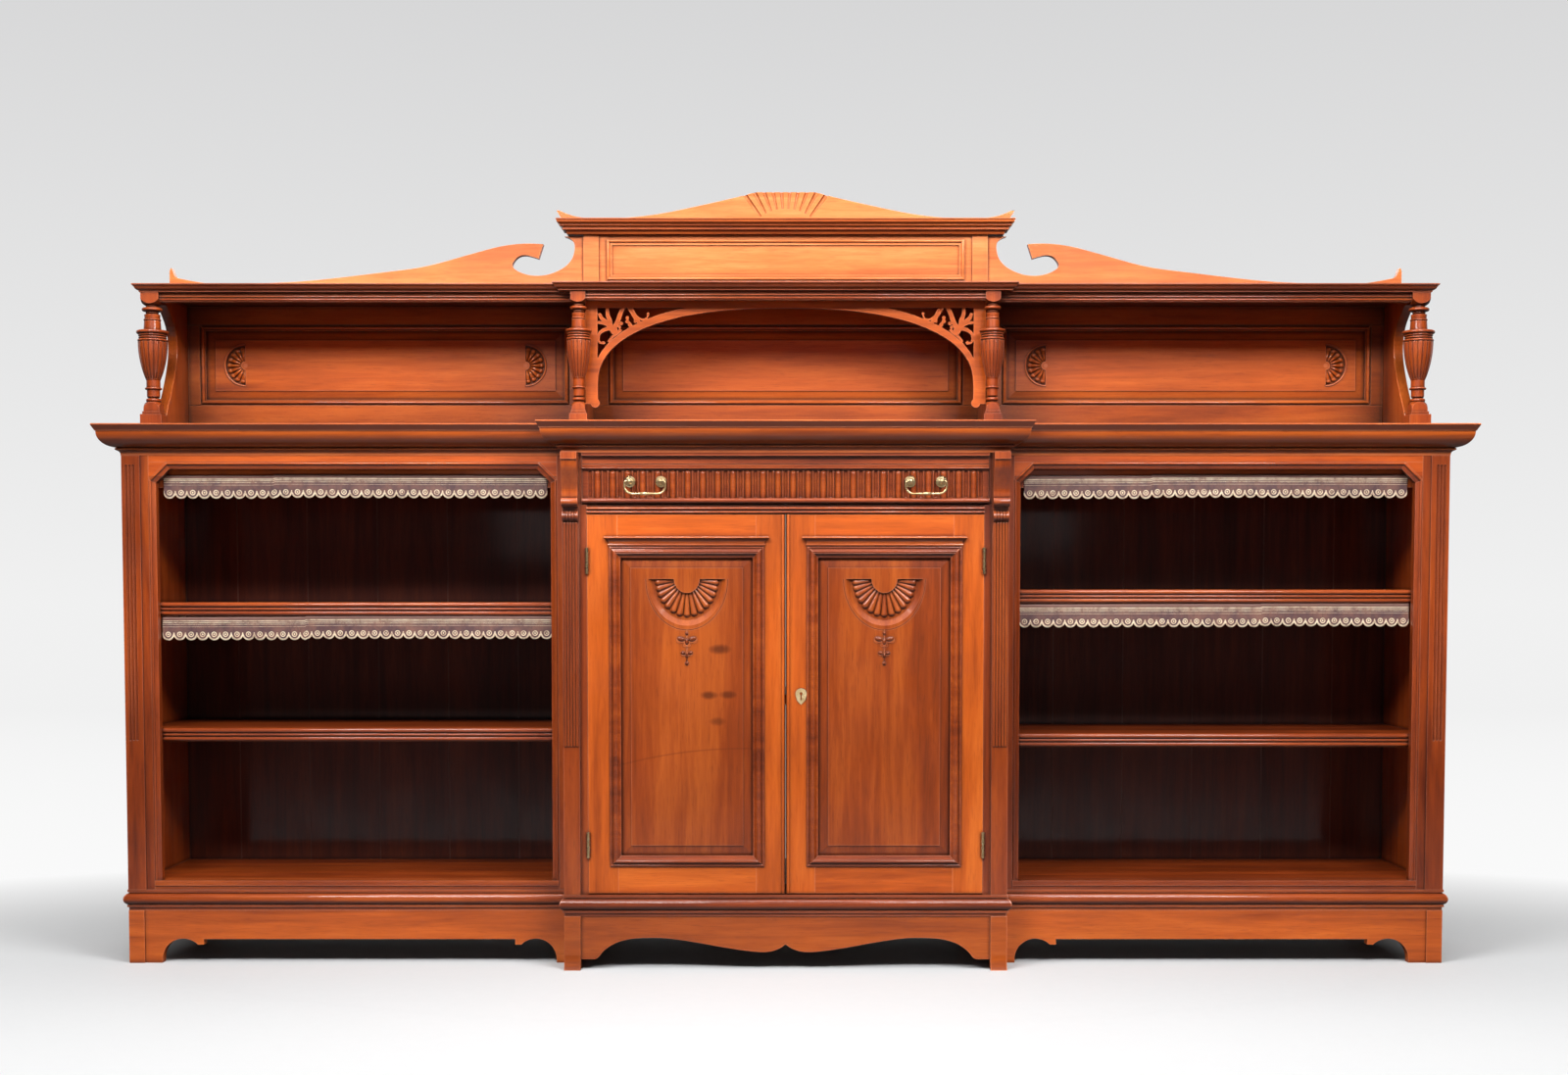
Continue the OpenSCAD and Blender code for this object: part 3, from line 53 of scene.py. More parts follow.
# Camera and studio
camera = {
    "lens": 45.9, "sensor": 36.0, "place": (0.0, -4.0455, 0.715),
    "tiltDown": 3.0, "shiftX": -0.001, "shiftY": 0.1078,
}
studio = {
    "floor": (0.56, 0.565, 0.57),               # where the floor takes the shadow
    "floorBounce": (0.34, 0.34, 0.34),          # what the floor gives back to the piece
    "floorNear": (0.96, 0.96, 0.96), "floorFar": (0.875, 0.875, 0.875), "floorFade": (0.4, 9.0),
    "floorSize": 24, "floorRough": 0.75, "grit": 40,
    "pool": (5.0, 1.6), "poolFade": (0.55, 1.25),   # oval of lit floor about the piece
    "backLow": (0.875, 0.875, 0.875), "backHigh": (0.665, 0.665, 0.67), "backFade": 0.30,
    "air": (1.0, 0.99, 0.97), "world": 0.035, "frontGlow": 0.04, "frontFade": 0.35,
    "lamps": [
        {"name": "leftLamp", "place": (-1.15, -2.1, 2.35), "aim": (-0.6, 0.0, 0.85),
         "size": (1.3, 0.6), "watts": 76},
        {"name": "rightLamp", "place": (1.15, -2.1, 2.35), "aim": (0.6, 0.0, 0.85),
         "size": (1.3, 0.6), "watts": 76},
        {"name": "topLamp", "place": (0.0, -1.15, 3.1), "aim": (0.0, -0.35, 0.9),
         "size": (3.0, 0.4), "watts": 64},
        {"name": "lowLamp", "place": (0.0, -3.8, 1.3), "aim": (0.0, 0.0, 0.5),
         "size": (2.4, 0.8), "watts": 3},
        {"name": "backLamp", "place": (0.0, 2.6, 2.4), "aim": (0.0, 0.2, 0.7),
         "size": (2.4, 0.8), "watts": 22},
    ],
}


class Wire:
    # a socket that takes part in sums, each of which adds its Math node
    def __init__(self, paint, socket):
        self.paint = paint
        self.socket = socket

    def math(self, how, *values):
        return self.paint.node("Math", {"operation": how}, dict(enumerate(values)))

    def __add__(self, other):
        return self.math("ADD", self, other)

    def __radd__(self, other):
        return self.math("ADD", other, self)

    def __sub__(self, other):
        return self.math("SUBTRACT", self, other)

    def __rsub__(self, other):
        return self.math("SUBTRACT", other, self)

    def __mul__(self, other):
        return self.math("MULTIPLY", self, other)

    def __rmul__(self, other):
        return self.math("MULTIPLY", other, self)

    def __truediv__(self, other):
        return self.math("DIVIDE", self, other)

    def __pow__(self, other):
        return self.math("POWER", self, other)

    def __gt__(self, other):
        return self.math("GREATER_THAN", self, other)

    def __lt__(self, other):
        return self.math("LESS_THAN", self, other)

    def __abs__(self):
        return self.math("ABSOLUTE", self)

    def atLeast(self, other):
        return self.math("MAXIMUM", self, other)

    def atMost(self, other):
        return self.math("MINIMUM", self, other)

    def fraction(self):
        return self.math("FRACT", self)


class Paint:
    # the nodes of a new material, or of a tree that is already there
    def __init__(self, name=None, tree=None):
        if tree is None:
            self.material = bpy.data.materials.new(name)
            self.material.use_nodes = True
            tree = self.material.node_tree
        self.tree = tree
        self.tree.nodes.clear()

    def node(self, kind, settings=None, sockets=None, out=0):
        made = self.tree.nodes.new("ShaderNode" + kind)
        for key, value in (settings or {}).items():
            if key == "stops":
                stops = made.color_ramp.elements
                while len(stops) < len(value):
                    stops.new(0.5)
                for stop, (place, colour) in zip(stops, value):
                    stop.position = place
                    stop.color = (*colour, 1.0)
            else:
                setattr(made, key, value)
        for key, value in (sockets or {}).items():
            socket = made.inputs[key]
            if isinstance(value, Wire):
                self.tree.links.new(value.socket, socket)
            elif socket.type == "RGBA":
                socket.default_value = (*value[:3], 1.0)
            else:
                socket.default_value = value
        return None if out is None else Wire(self, made.outputs[out])

    def where(self):
        return self.node("TexCoord", out="Object")

    def split(self, vector):
        apart = self.node("SeparateXYZ", None, {0: vector}).socket.node
        return [Wire(self, socket) for socket in apart.outputs]

    def rays(self, *kinds):
        outputs = self.node("LightPath").socket.node.outputs
        return [Wire(self, outputs["Is " + kind + " Ray"]) for kind in kinds]

    def place(self, vector, move=(0, 0, 0), size=(1, 1, 1)):
        return self.node("Mapping", None, {"Vector": vector, "Location": move, "Scale": size})

    def speckle(self, vector, scale, detail=2.0, rough=0.5, bent=0.0):
        return self.node("TexNoise", None, {"Vector": vector, "Scale": scale, "Detail": detail,
                                            "Roughness": rough, "Distortion": bent})

    def hollow(self, reach, samples=4, inside=False):
        settings = {"samples": samples, "inside": inside}
        return self.node("AmbientOcclusion", settings, {"Distance": reach}, "AO")

    def blend(self, factor, first, second):
        return self.node("Mix", {"data_type": "RGBA"}, {0: factor, 6: first, 7: second}, 2)

    def pick(self, factor, first, second):
        return self.node("Mix", {"data_type": "VECTOR"}, {0: factor, 4: first, 5: second}, 1)

    def stretch(self, value, low, high, toLow=0.0, toHigh=1.0):
        return self.node("MapRange", None, {0: value, 1: low, 2: high, 3: toLow, 4: toHigh})

    def bump(self, height, distance, under=None):
        sockets = {"Height": height, "Distance": distance, "Strength": 1.0}
        if under is not None:
            sockets["Normal"] = under
        return self.node("Bump", None, sockets)

    def finish(self, sockets):
        shader = self.node("BsdfPrincipled", None, sockets)
        self.node("OutputMaterial", None, {"Surface": shader}, out=None)
        return self.material


def dimmed(colour, share):
    return tuple(c * share for c in colour)


print("making the finishes")

# Wood, French polished; the tones run from the dark of the pores to the light of the figure
woodTones = {
    "frame": {"dark": (0.215, 0.033, 0.004), "mid": (0.440, 0.080, 0.007), "light": (0.600, 0.135, 0.016)},
    "case": {"dark": (0.090, 0.012, 0.003), "mid": (0.245, 0.038, 0.005), "light": (0.390, 0.074, 0.009)},
    "panel": {"dark": (0.100, 0.015, 0.003), "mid": (0.225, 0.036, 0.004), "light": (0.360, 0.074, 0.009)},
    # the crown tone is the frame tone painted lighter and paler: painted light on the crest, tablet and
    # pediment
    "crownLit": {"dark": (0.330, 0.068, 0.014), "mid": (0.610, 0.155, 0.034), "light": (0.790, 0.255, 0.078)},
    "inside": {"dark": (0.030, 0.006, 0.004), "mid": (0.075, 0.013, 0.006), "light": (0.125, 0.025, 0.008)},
}
wood = {
    "figure": 4.2,          # broad light and dark clouds, per metre across the grain
    "ribbon": 11.0,         # ribbons
    "streak": 70.0,         # fine streaks
    "pore": 460.0,          # pores
    "cloud": 3.2,           # slow drift of tone, the same in all directions
    "smudge": 14.0,         # patches in the polish
    "long": 0.07,           # draws the marks out along the grain; a smaller value draws them longer
    "crossShift": 3.1,      # moves the pattern where the grain turns
    "grimeAndShade": 0.008,         # reach of the dirt and painted shade in the hollows, in metres
    "wearAndHighlight": 0.0020,         # width of the rubbed edges and their painted highlight, in metres
    "gloom": 0.16,          # reach of the shade under the shelves and cornices, in metres
    # the first colour is the painted shade under shelves and cornices; pale lightens the rubbed edges into a
    # painted highlight
    "shadeColour": (0.008, 0.004, 0.003), "pale": (0.20, 0.17, 0.14),
    "polish": 0.62, "polishRough": 0.09, "rough": 0.42, "poreDeep": 0.0001, "smudgeDeep": 0.0005,
}


def woodPaint(name, tone, grain="x", seed=0, cross=None, grimeAndShade=1.0, rubAndHighlight=1.0, spots=(), gloom=0.0, gain=1.0,
              sheen=1.0, shadeBand=None, stain=None):
    # cross turns the grain along x where its rule holds and scales the brightness there; the other shares, in
    # order, are of dirt with painted shade in the hollows, rubbed edges with painted highlight, painted
    # shade, brightness and polish; spots and stain mark one face, and the band is a painted shade between two
    # heights
    paint = Paint(name)
    tones = woodTones[tone]
    dark = tones["dark"]
    place = paint.where()
    x, _, z = paint.split(place)
    drawn = {"x": (wood["long"], 1, 1), "y": (1, wood["long"], 1), "z": (1, 1, wood["long"])}
    shift = tuple(random.Random(seed).uniform(-9, 9) for _ in range(3))
    alongGrain = paint.place(place, shift, drawn[grain])
    if cross:
        rule, crossGain = cross
        across = paint.place(place, tuple(s + wood["crossShift"] for s in shift), drawn["x"])
        crossed = rule(x, z)
        alongGrain = paint.pick(crossed, alongGrain, across)
        gain = gain * (1.0 + crossed * (crossGain - 1.0))

    figure = paint.speckle(alongGrain, wood["figure"], 3, 0.55, 1.4)
    ribbon = paint.speckle(alongGrain, wood["ribbon"], 4, 0.6, 1.6)
    streak = paint.speckle(alongGrain, wood["streak"], 3, 0.7, 0.4)
    fine = paint.speckle(alongGrain, wood["pore"], 2, 0.6)
    cloud = paint.speckle(place, wood["cloud"], 2, 0.5)
    tint = figure * 0.38 + ribbon * 0.40 + streak * 0.32 - 0.05
    colour = paint.node("ValToRGB", {"stops": [(0.34, dark), (0.50, tones["mid"]), (0.66, tones["light"])]},
                        {0: tint})
    colour = paint.blend(paint.stretch(fine, 0.56, 0.72) * 0.4, colour, dark)
    colour = paint.node("HueSaturation", None, {
        "Color": colour, "Value": paint.stretch(cloud, 0.3, 0.7, 0.86, 1.1) * gain})

    for spotX, spotZ, wide, high, depth in spots:       # smudges left by old wear on the face
        far = ((x - spotX) / wide) ** 2 + ((z - spotZ) / high) ** 2 + streak * 0.8
        colour = paint.blend(paint.stretch(far, 0.5, 1.4, depth, 0.0), colour, dimmed(dark, 0.5))
    if stain:       # a dark line that rises across the face and is flat at flatX
        flatX, flatZ, bend, thin, depth = stain
        off = abs(z - flatZ + (x - flatX) ** 2 * bend)
        colour = paint.blend(paint.stretch(off, 0.0, thin, depth, 0.0), colour, dark)

    # dirt and painted shade: darker in the hollows of the mouldings and where parts meet
    hollow = paint.hollow(wood["grimeAndShade"])
    dirtAndShade = paint.stretch(hollow, 0.5, 0.95, 0.95, 0.0) * paint.stretch(streak, 0.2, 0.7, 0.75, 1.0) * grimeAndShade
    colour = paint.blend(dirtAndShade, colour, dimmed(dark, 0.2))
    # painted shade: faces that turn downwards are darker
    facing = paint.split(paint.node("NewGeometry", out="True Normal"))[2]
    colour = paint.blend(paint.stretch(facing, -0.06, -0.6, 0.0, 0.86), colour, dimmed(dark, 0.25))
    if shadeBand:        # painted shade along an edge, between two heights
        low, high, depth = shadeBand
        colour = paint.blend((z > low) * (z < high) * depth, colour, dimmed(dark, 0.35))
    if gloom:
        shade = paint.stretch(paint.hollow(wood["gloom"]), 0.25, 0.85, gloom, 0.0)
        colour = paint.blend(shade, colour, wood["shadeColour"])

    # rubbed edges: worn polish and a painted highlight, paler on the arrises and most on those that face up
    edge = paint.hollow(wood["wearAndHighlight"], samples=3, inside=True)
    rubbedAndLit = paint.stretch(edge, 0.95, 0.5, 0.0, 0.8) * paint.stretch(cloud, 0.3, 0.65, 0.35, 1.0) * rubAndHighlight
    rubbedAndLit = rubbedAndLit * paint.stretch(facing, -0.2, 0.4, 0.1, 1.0)
    worn = tuple(min(1, c * 1.2 + pale) for c, pale in zip(tones["light"], wood["pale"]))
    colour = paint.blend(rubbedAndLit, colour, worn)

    smudge = paint.speckle(place, wood["smudge"], 4, 0.65)
    rough = paint.stretch(smudge, 0.3, 0.7, wood["rough"] - 0.07, wood["rough"] + 0.09) + dirtAndShade * 0.25
    polish = paint.stretch(smudge, 0.3, 0.7, wood["polish"], wood["polish"] - 0.2) - dirtAndShade * 0.3
    relief = fine * 0.5 + streak * 0.35
    return paint.finish({
        "Base Color": colour, "Roughness": rough, "Coat Weight": polish * sheen,
        "Normal": paint.bump(relief, wood["poreDeep"], paint.bump(smudge, wood["smudgeDeep"])),
        "Coat Roughness": wood["polishRough"], "Coat IOR": 1.5, "Specular IOR Level": 0.18,
    })


# Brass of the handles, hinges, pegs and lock, lacquered and dirty in the hollows
brass = {
    "light": (0.74, 0.58, 0.33), "deep": (0.40, 0.26, 0.12), "tarnish": (0.07, 0.04, 0.025),
    "patch": 60, "fine": 700, "grimeAndShade": 0.006, "relief": 0.0002,
}


def brassPaint(name, seed=0, grimeAndShade=0.75, metal=1.0):
    paint = Paint(name)
    place = paint.place(paint.where(), (seed, seed * 0.7, 0))
    patches = paint.speckle(place, brass["patch"], 4, 0.6)
    fine = paint.speckle(place, brass["fine"], 2, 0.5)
    colour = paint.blend(paint.stretch(patches, 0.35, 0.65), brass["light"], brass["deep"])
    dirtAndShade = paint.stretch(paint.hollow(brass["grimeAndShade"]), 0.35, 0.9, 1.0, 0.0) * grimeAndShade
    colour = paint.blend(dirtAndShade, colour, brass["tarnish"])
    return paint.finish({
        "Base Color": colour, "Roughness": paint.stretch(patches, 0.3, 0.7, 0.2, 0.4) + dirtAndShade * 0.3,
        "Metallic": metal - dirtAndShade * 0.6 * metal,
        "Normal": paint.bump(fine * 0.4 + patches, brass["relief"]),
    })


# Where the rails of the face frames and the doors meet their stiles, and the grain turns
rails = {"faceRail": 68 * mm, "chamfer": 14 * mm, "innerStile": 18 * mm, "outerStile": 52 * mm,
         "meetingStile": 55.5 * mm, "hingeStile": 58 * mm}
frameLow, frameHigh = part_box("face_frame_right")
openingTop = frameHigh.z - rails["faceRail"] - rails["chamfer"]
openingIn = frameLow.x + rails["innerStile"]
openingOut = frameHigh.x - rails["outerStile"]
doorLow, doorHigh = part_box("door_right_frame")
doorRailIn = doorLow.x + rails["meetingStile"]
doorRailOut = doorHigh.x - rails["hingeStile"]


def onFaceRail(x, z):
    return (z > openingTop) * (abs(x) > openingIn) * (abs(x) < openingOut)


def onDoorRail(x, z):
    return (abs(x) > doorRailIn) * (abs(x) < doorRailOut)


uprightGrain = ["end_panel_left", "end_panel_right", "partition_left", "partition_right", "back_boards",
                "face_frame_left", "face_frame_right", "pilaster_left", "pilaster_right", "corbel_left",
                "corbel_right", "gallery_uprights", "column_outer_left", "column_inner_left",
                "column_inner_right", "column_outer_right", "door_left_frame", "door_left_panel",
                "door_right_frame", "door_right_panel"]
slotTones = {"mahogany_light": "frame", "mahogany": "case", "mahogany_dark": "inside", "leather": "inside"}
# the face frames' rails are painted lighter than the stiles, a painted highlight of the light falling on them
faceFrameLook = {"cross": (onFaceRail, 1.65)}
doorFrameLook = {"cross": (onDoorRail, 1.08), "sheen": 0.5}
pilasterLook = {"gain": 0.9, "grimeAndShade": 0.8}
# the crest, tablet and pediment take the lighter tone, which paints the stronger light at the top
crestLook = {"tone": "crownLit", "sheen": 0.4}
looks = {
    "face_frame_left": faceFrameLook, "face_frame_right": faceFrameLook,
    "door_left_frame": doorFrameLook, "door_right_frame": doorFrameLook,
    "pilaster_left": pilasterLook, "pilaster_right": pilasterLook,
    "crest_left": crestLook, "crest_right": crestLook, "centre_tablet": crestLook,
    "pediment": {"tone": "crownLit", "sheen": 0.25},
    "door_right_panel": {"tone": "panel"},
    "door_left_panel": {
        "tone": "panel", "stain": (-0.083, 0.4304, 0.563, 0.0024, 0.45),
        "spots": [(-0.127, 0.623, 0.024, 0.011, 0.75), (-0.148, 0.534, 0.019, 0.009, 0.75),
                  (-0.111, 0.535, 0.019, 0.009, 0.7), (-0.132, 0.483, 0.018, 0.009, 0.5)],
    },
    "gallery_panels": {"tone": "frame", "gloom": 0.9},
    "gallery_back": {"gain": 1.05, "gloom": 0.97},
    "gallery_uprights": {"gloom": 0.7},
    "gallery_frieze": {"gloom": 0.4},
    # the centre plinth is painted darker, a painted shade of the weaker light low in the middle
    "plinth_centre": {"gain": 0.74},
    "drawer_front": {"grimeAndShade": 0.85},
}
brassLooks = {"lock": {"grimeAndShade": 0.4, "metal": 0.35}}
seeds = {name: i for i, name in enumerate(sorted(nodes))}
for entry in frame["record"]["subparts"]:
    name = entry["node"]
    slot = entry["material_slot"]
    if slot == "brass":
        finish = brassPaint(name + "Brass", seeds[name], **brassLooks.get(name, {}))
    else:
        look = {"tone": slotTones[slot], "grain": "z" if name in uprightGrain else "x", **looks.get(name, {})}
        finish = woodPaint(name + "Wood", seed=seeds[name], **look)
    mesh = nodes[name].data
    mesh.materials.clear()
    mesh.materials.append(finish)

# Eased arrises on the joinery
eased = {
    "width": 1.3 * mm, "segments": 3, "angle": math.radians(35), "join": 0.00001,
    "nodes": ("plinth", "face_frame", "door_left_frame", "door_right_frame", "centre", "shelf_upper",
              "shelf_lower", "gallery_back", "gallery_uprights", "crest", "base_moulding", "corbel",
              "gallery_frieze", "gallery_panels", "door_left_moulding", "door_right_moulding",
              "end_panel", "pediment"),
}
for name in nodes:
    if name.startswith(eased["nodes"]) and name != "pediment_cornice":
        join = nodes[name].modifiers.new("join", "WELD")
        join.merge_threshold = eased["join"]
        arris = nodes[name].modifiers.new("arris", "BEVEL")
        arris.width = eased["width"]
        arris.segments = eased["segments"]
        arris.limit_method = "ANGLE"
        arris.angle_limit = eased["angle"]

print("running the mouldings")


def intoScene(name, shape, smooth):
    mesh = bpy.data.meshes.new(name)
    shape.to_mesh(mesh)
    shape.free()
    for face in mesh.polygons:
        face.use_smooth = smooth
    piece = bpy.data.objects.new(name, mesh)
    bpy.context.scene.collection.objects.link(piece)
    return piece


def runMoulding(name, path, profile, base, board=False):
    # pushes a section of (out, up) points in mm along a plan path with mitred corners;
    # a board is closed over the path, any other run has a closed section
    corners = [Vector(point) for point in path]
    sides = []
    for here, there in zip(corners, corners[1:]):
        along = (there - here).normalized()
        sides.append(Vector((-along.y, along.x)))
    mitres = [sides[0]]
    for before, after in zip(sides, sides[1:]):
        mitres.append((before + after) / (1 + before.dot(after)))
    mitres.append(sides[-1])
    shape = bmesh.new()
    row = shape.verts.layers.int.new("row")

    def spot(i, point):
        flat = corners[i] + mitres[i] * point[0] * mm
        return (flat.x, flat.y, base + point[1] * mm)

    ring = []
    for i, point in enumerate(profile):
        corner = shape.verts.new(spot(0, point))
        corner[row] = i
        ring.append(corner)
    rings = [ring]
    edges = [shape.edges.new(pair) for pair in zip(ring, ring[1:] if board else ring[1:] + ring[:1])]
    for i in range(1, len(corners)):
        grown = bmesh.ops.extrude_edge_only(shape, edges=edges)["geom"]
        edges = [part for part in grown if isinstance(part, bmesh.types.BMEdge)]
        ring = [part for part in grown if isinstance(part, bmesh.types.BMVert)]
        ring.sort(key=lambda corner: corner[row])
        for corner in ring:
            corner.co = spot(i, profile[corner[row]])
        rings.append(ring)
    if board:
        shape.faces.new([ring[0] for ring in rings])
        shape.faces.new([ring[-1] for ring in rings])
        shape.faces.new(rings[0] + rings[-1][::-1])
    else:
        shape.faces.new(rings[0])
        shape.faces.new(rings[-1])
    bmesh.ops.recalc_face_normals(shape, faces=shape.faces[:])
    return intoScene(name, shape, smooth=False)


def arc(middle, r, start, end, steps=8):
    # points of a round in a section, from one angle to another in degrees
    turns = [math.radians(start + (end - start) * i / steps) for i in range(steps + 1)]
    return [(middle[0] + r[0] * math.cos(t), middle[1] + r[1] * math.sin(t)) for t in turns]


def bothSides(path):
    # a plan path that starts on the right is carried round to the left
    return path + [(-x, y) for x, y in path[::-1]]


def dress(piece, body, slot, finish, *replaced):
    piece.data.materials.append(finish)
    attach(piece, body)
    if replaced:
        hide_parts(*replaced)


# The counter's board and cornice in one: a square edge over a chamfer, an ovolo, a fillet and a bead
counter = {
    "overhang": 45 * mm,                    # of the board beyond the case
    "wingStep": 120 * mm,                   # from the board's front to the case's wings
    "cornice": 42 * mm,                     # height of the cornice under the board
    # darkEdge holds the heights of a painted shade band on the board's edge, edgeDepth its strength
    "darkEdge": (45 * mm, 56.6 * mm), "edgeDepth": 0.85,
    "section": [(43.4, 59), (44.6, 58.4), (45, 57.4), (45, 56), (39.4, 46.4), (39.4, 45.2), (37.4, 45.2)]
               + arc((7.8, 43.4), (29.6, 28.4), 0, -90, 14)
               + [(7.8, 14), (9.4, 13.6), (9.8, 12.6), (9.8, 11), (8.8, 10.2)]
               + arc((8.8, 2), (7.4, 7.4), 100, 172, 6) + [(1.2, 0), (0.2, 0), (0.2, 42)],
}
boardLow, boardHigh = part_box("counter_top")
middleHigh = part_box("plinth_centre")[1]
caseHalf = boardHigh.x - counter["overhang"]
caseWing = boardLow.y + counter["wingStep"]
casePath = bothSides([(caseHalf, boardHigh.y), (caseHalf, caseWing), (middleHigh.x, caseWing),
                      (middleHigh.x, boardLow.y + counter["overhang"])])
counterBase = boardLow.z - counter["cornice"]
# the board's edge is painted darker between these heights, a painted shade
darkFrom, darkTo = counter["darkEdge"]
counterWood = woodPaint("counterWood", "frame", "x", 71, gain=0.9, gloom=0.3,
                        shadeBand=(counterBase + darkFrom, counterBase + darkTo, counter["edgeDepth"]))
dress(runMoulding("counter", casePath, counter["section"], counterBase, board=True),
      "root", "mahogany_light", counterWood, "counter_top", "counter_cornice")

# The upper shelf, thumb moulded under its front edge
upperShelf = {
    "step": 25 * mm,                        # how far its middle breaks forward
    "middle": 36 * mm,                      # how far that middle runs past the centre of the plinth
    "section": [(-1.4, 16), (-0.4, 15.7), (0, 14.9), (0, 13.4), (-3.2, 10.4), (-3.4, 9.4), (-4.4, 9.2),
                (-4.6, 8), (-5.6, 6), (-8, 4), (-11, 2.8), (-11.4, 2.2), (-11.4, 0.4), (-12, 0)],
}
shelfLow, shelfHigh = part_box("gallery_shelf")
shelfWing = shelfLow.y + upperShelf["step"]
shelfMiddle = middleHigh.x + upperShelf["middle"]
shelfPath = bothSides([(shelfHigh.x, shelfHigh.y), (shelfHigh.x, shelfWing), (shelfMiddle, shelfWing),
                       (shelfMiddle, shelfLow.y)])
dress(runMoulding("upper_shelf", shelfPath, upperShelf["section"], shelfLow.z, board=True),
      "root", "mahogany", woodPaint("upperShelfWood", "case", "x", 72, gain=0.8), "gallery_shelf")

# The cornice over the centre tablet
tabletCornice = {
    "out": 23 * mm,
    "section": [(22, 30), (23, 29.4), (23, 27.8), (21.6, 27), (21, 22.6), (19.4, 20.6), (16.6, 19)]
               + arc((11.6, 17), (4.4, 3.4), 20, -80, 7)
               + [(10.4, 12.8), (10.4, 8.4), (9.8, 7.8), (4.4, 7.2), (2.6, 4), (1.8, 0.4), (0.2, 0)],
}
corniceLow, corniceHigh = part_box("pediment_cornice")
tabletHalf = corniceHigh.x - tabletCornice["out"]
cornicePath = bothSides([(tabletHalf, corniceHigh.y), (tabletHalf, corniceLow.y + tabletCornice["out"])])
dress(runMoulding("tablet_cornice", cornicePath, tabletCornice["section"], corniceLow.z, board=True),
      "root", "mahogany", woodPaint("tabletCorniceWood", "frame", "x", 73, gain=0.95), "pediment_cornice")

# The moulded strip across the top of each door's panel moulding
doorCap = {
    "lip": 3 * mm, "gap": 0.2 * mm, "doorThick": 22 * mm,
    "section": [(-3, 0), (0, 0), (1, 0.8), (1.5, 2.4), (1, 4.2), (0, 5), (0.1, 6.4)]
               + arc((8, 6), (7.8, 8.6), 168, 96, 6)
               + [(8, 15), (9, 15.4), (9, 17), (8.6, 17.6), (-3, 17.6)],
}
for side, seed in (("left", 73), ("right", 75)):
    rimLow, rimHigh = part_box("door_" + side + "_moulding")
    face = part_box("door_" + side + "_frame")[1].y - doorCap["doorThick"]
    front = face - doorCap["lip"]
    capPath = [(rimHigh.x, face), (rimHigh.x, front), (rimLow.x, front), (rimLow.x, face)]
    strip = runMoulding("door_cap_" + side, capPath, doorCap["section"], rimHigh.z + doorCap["gap"])
    dress(strip, "door_" + side, "mahogany", woodPaint("doorCapWood" + side, "frame", "x", seed))

print("carving the fans and husks")


def pebble(shape, middle, size, turn=0.0):
    # a rounded lump of carving; size holds its half width, depth and height, turn is about Y
    placed = Matrix.Translation(middle) @ Matrix.Rotation(turn, 4, "Y") @ Matrix.Diagonal((*size, 1.0))
    bmesh.ops.create_uvsphere(shape, u_segments=16, v_segments=10, radius=1.0, matrix=placed)


def rib(shape, root, turn, start, end, thin, thick, flat):
    # a tapered rounded rib that leaves the root at an angle about Y, from start to end
    around = Matrix.Translation(root) @ Matrix.Rotation(turn, 4, "Y") @ Matrix.Diagonal((1.0, flat, 1.0, 1.0))
    length = end - thick - start
    bmesh.ops.create_cone(shape, cap_ends=True, segments=14, radius1=thin, radius2=thick, depth=length,
                          matrix=around @ Matrix.Translation((0, 0, start + length / 2)))
    bmesh.ops.create_uvsphere(shape, u_segments=14, v_segments=10, radius=thick,
                              matrix=around @ Matrix.Translation((0, 0, end - thick)))


# Half fans near the ends of the two long gallery panels, their ribs spread towards those ends
fan = {
    "in": 94 * mm,              # of each middle from the end of its panel
    "wingIn": 456 * mm,         # inner end of a long panel, from the bookcase's middle
    "ground": 9.5 * mm,         # depth of the ground from the panels' back
    "r": 39 * mm,
    "ribs": 9, "spread": math.radians(160), "start": 6 * mm, "thin": 1.1 * mm, "thick": 5.6 * mm, "flat": 0.8,
    "hub": (5 * mm, 2 * mm, 5 * mm),
    "rim": 1.9 * mm, "rimGap": 4 * mm, "rimProud": 2.6 * mm, "rimSides": 10, "rimSteps": 24,
}
quarter = math.pi / 2
panelLow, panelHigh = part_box("gallery_panels")
fanX = [fan["wingIn"] + fan["in"], panelHigh.x - fan["in"]]
fanZ = (panelLow.z + panelHigh.z) / 2
for side, sign, seed in (("left", -1, 80), ("right", 1, 82)):
    shape = bmesh.new()
    for x, way in zip(fanX, (-1, 1)):
        root = Vector((sign * x, panelHigh.y - fan["ground"], fanZ))
        lean = sign * way * quarter
        for i in range(fan["ribs"]):
            turn = fan["spread"] * (i / (fan["ribs"] - 1) - 0.5) + lean
            rib(shape, root, turn, fan["start"], fan["r"], fan["thin"], fan["thick"], fan["flat"])
        pebble(shape, root, fan["hub"])
        rimAt = root + Vector((0, -fan["rimProud"], fan["r"] + fan["rimGap"]))
        placed = Matrix.Translation(rimAt) @ Matrix.Rotation(quarter, 4, "Y")
        rim = bmesh.ops.create_circle(shape, segments=fan["rimSides"], radius=fan["rim"],
                                      matrix=placed)["verts"]
        edges = list(dict.fromkeys(edge for corner in rim for edge in corner.link_edges))
        bmesh.ops.rotate(shape, cent=root, matrix=Matrix.Rotation(lean - quarter, 3, "Y"), verts=rim)
        bmesh.ops.spin(shape, geom=rim + edges, cent=root, axis=(0, 1, 0), angle=math.pi,
                       steps=fan["rimSteps"])
    bmesh.ops.recalc_face_normals(shape, faces=shape.faces[:])
    dress(intoScene("fan_carving_" + side, shape, smooth=True), "root", "mahogany",
          woodPaint("fanWood" + side, "frame", "x", seed, grimeAndShade=1.1, rubAndHighlight=0.4))

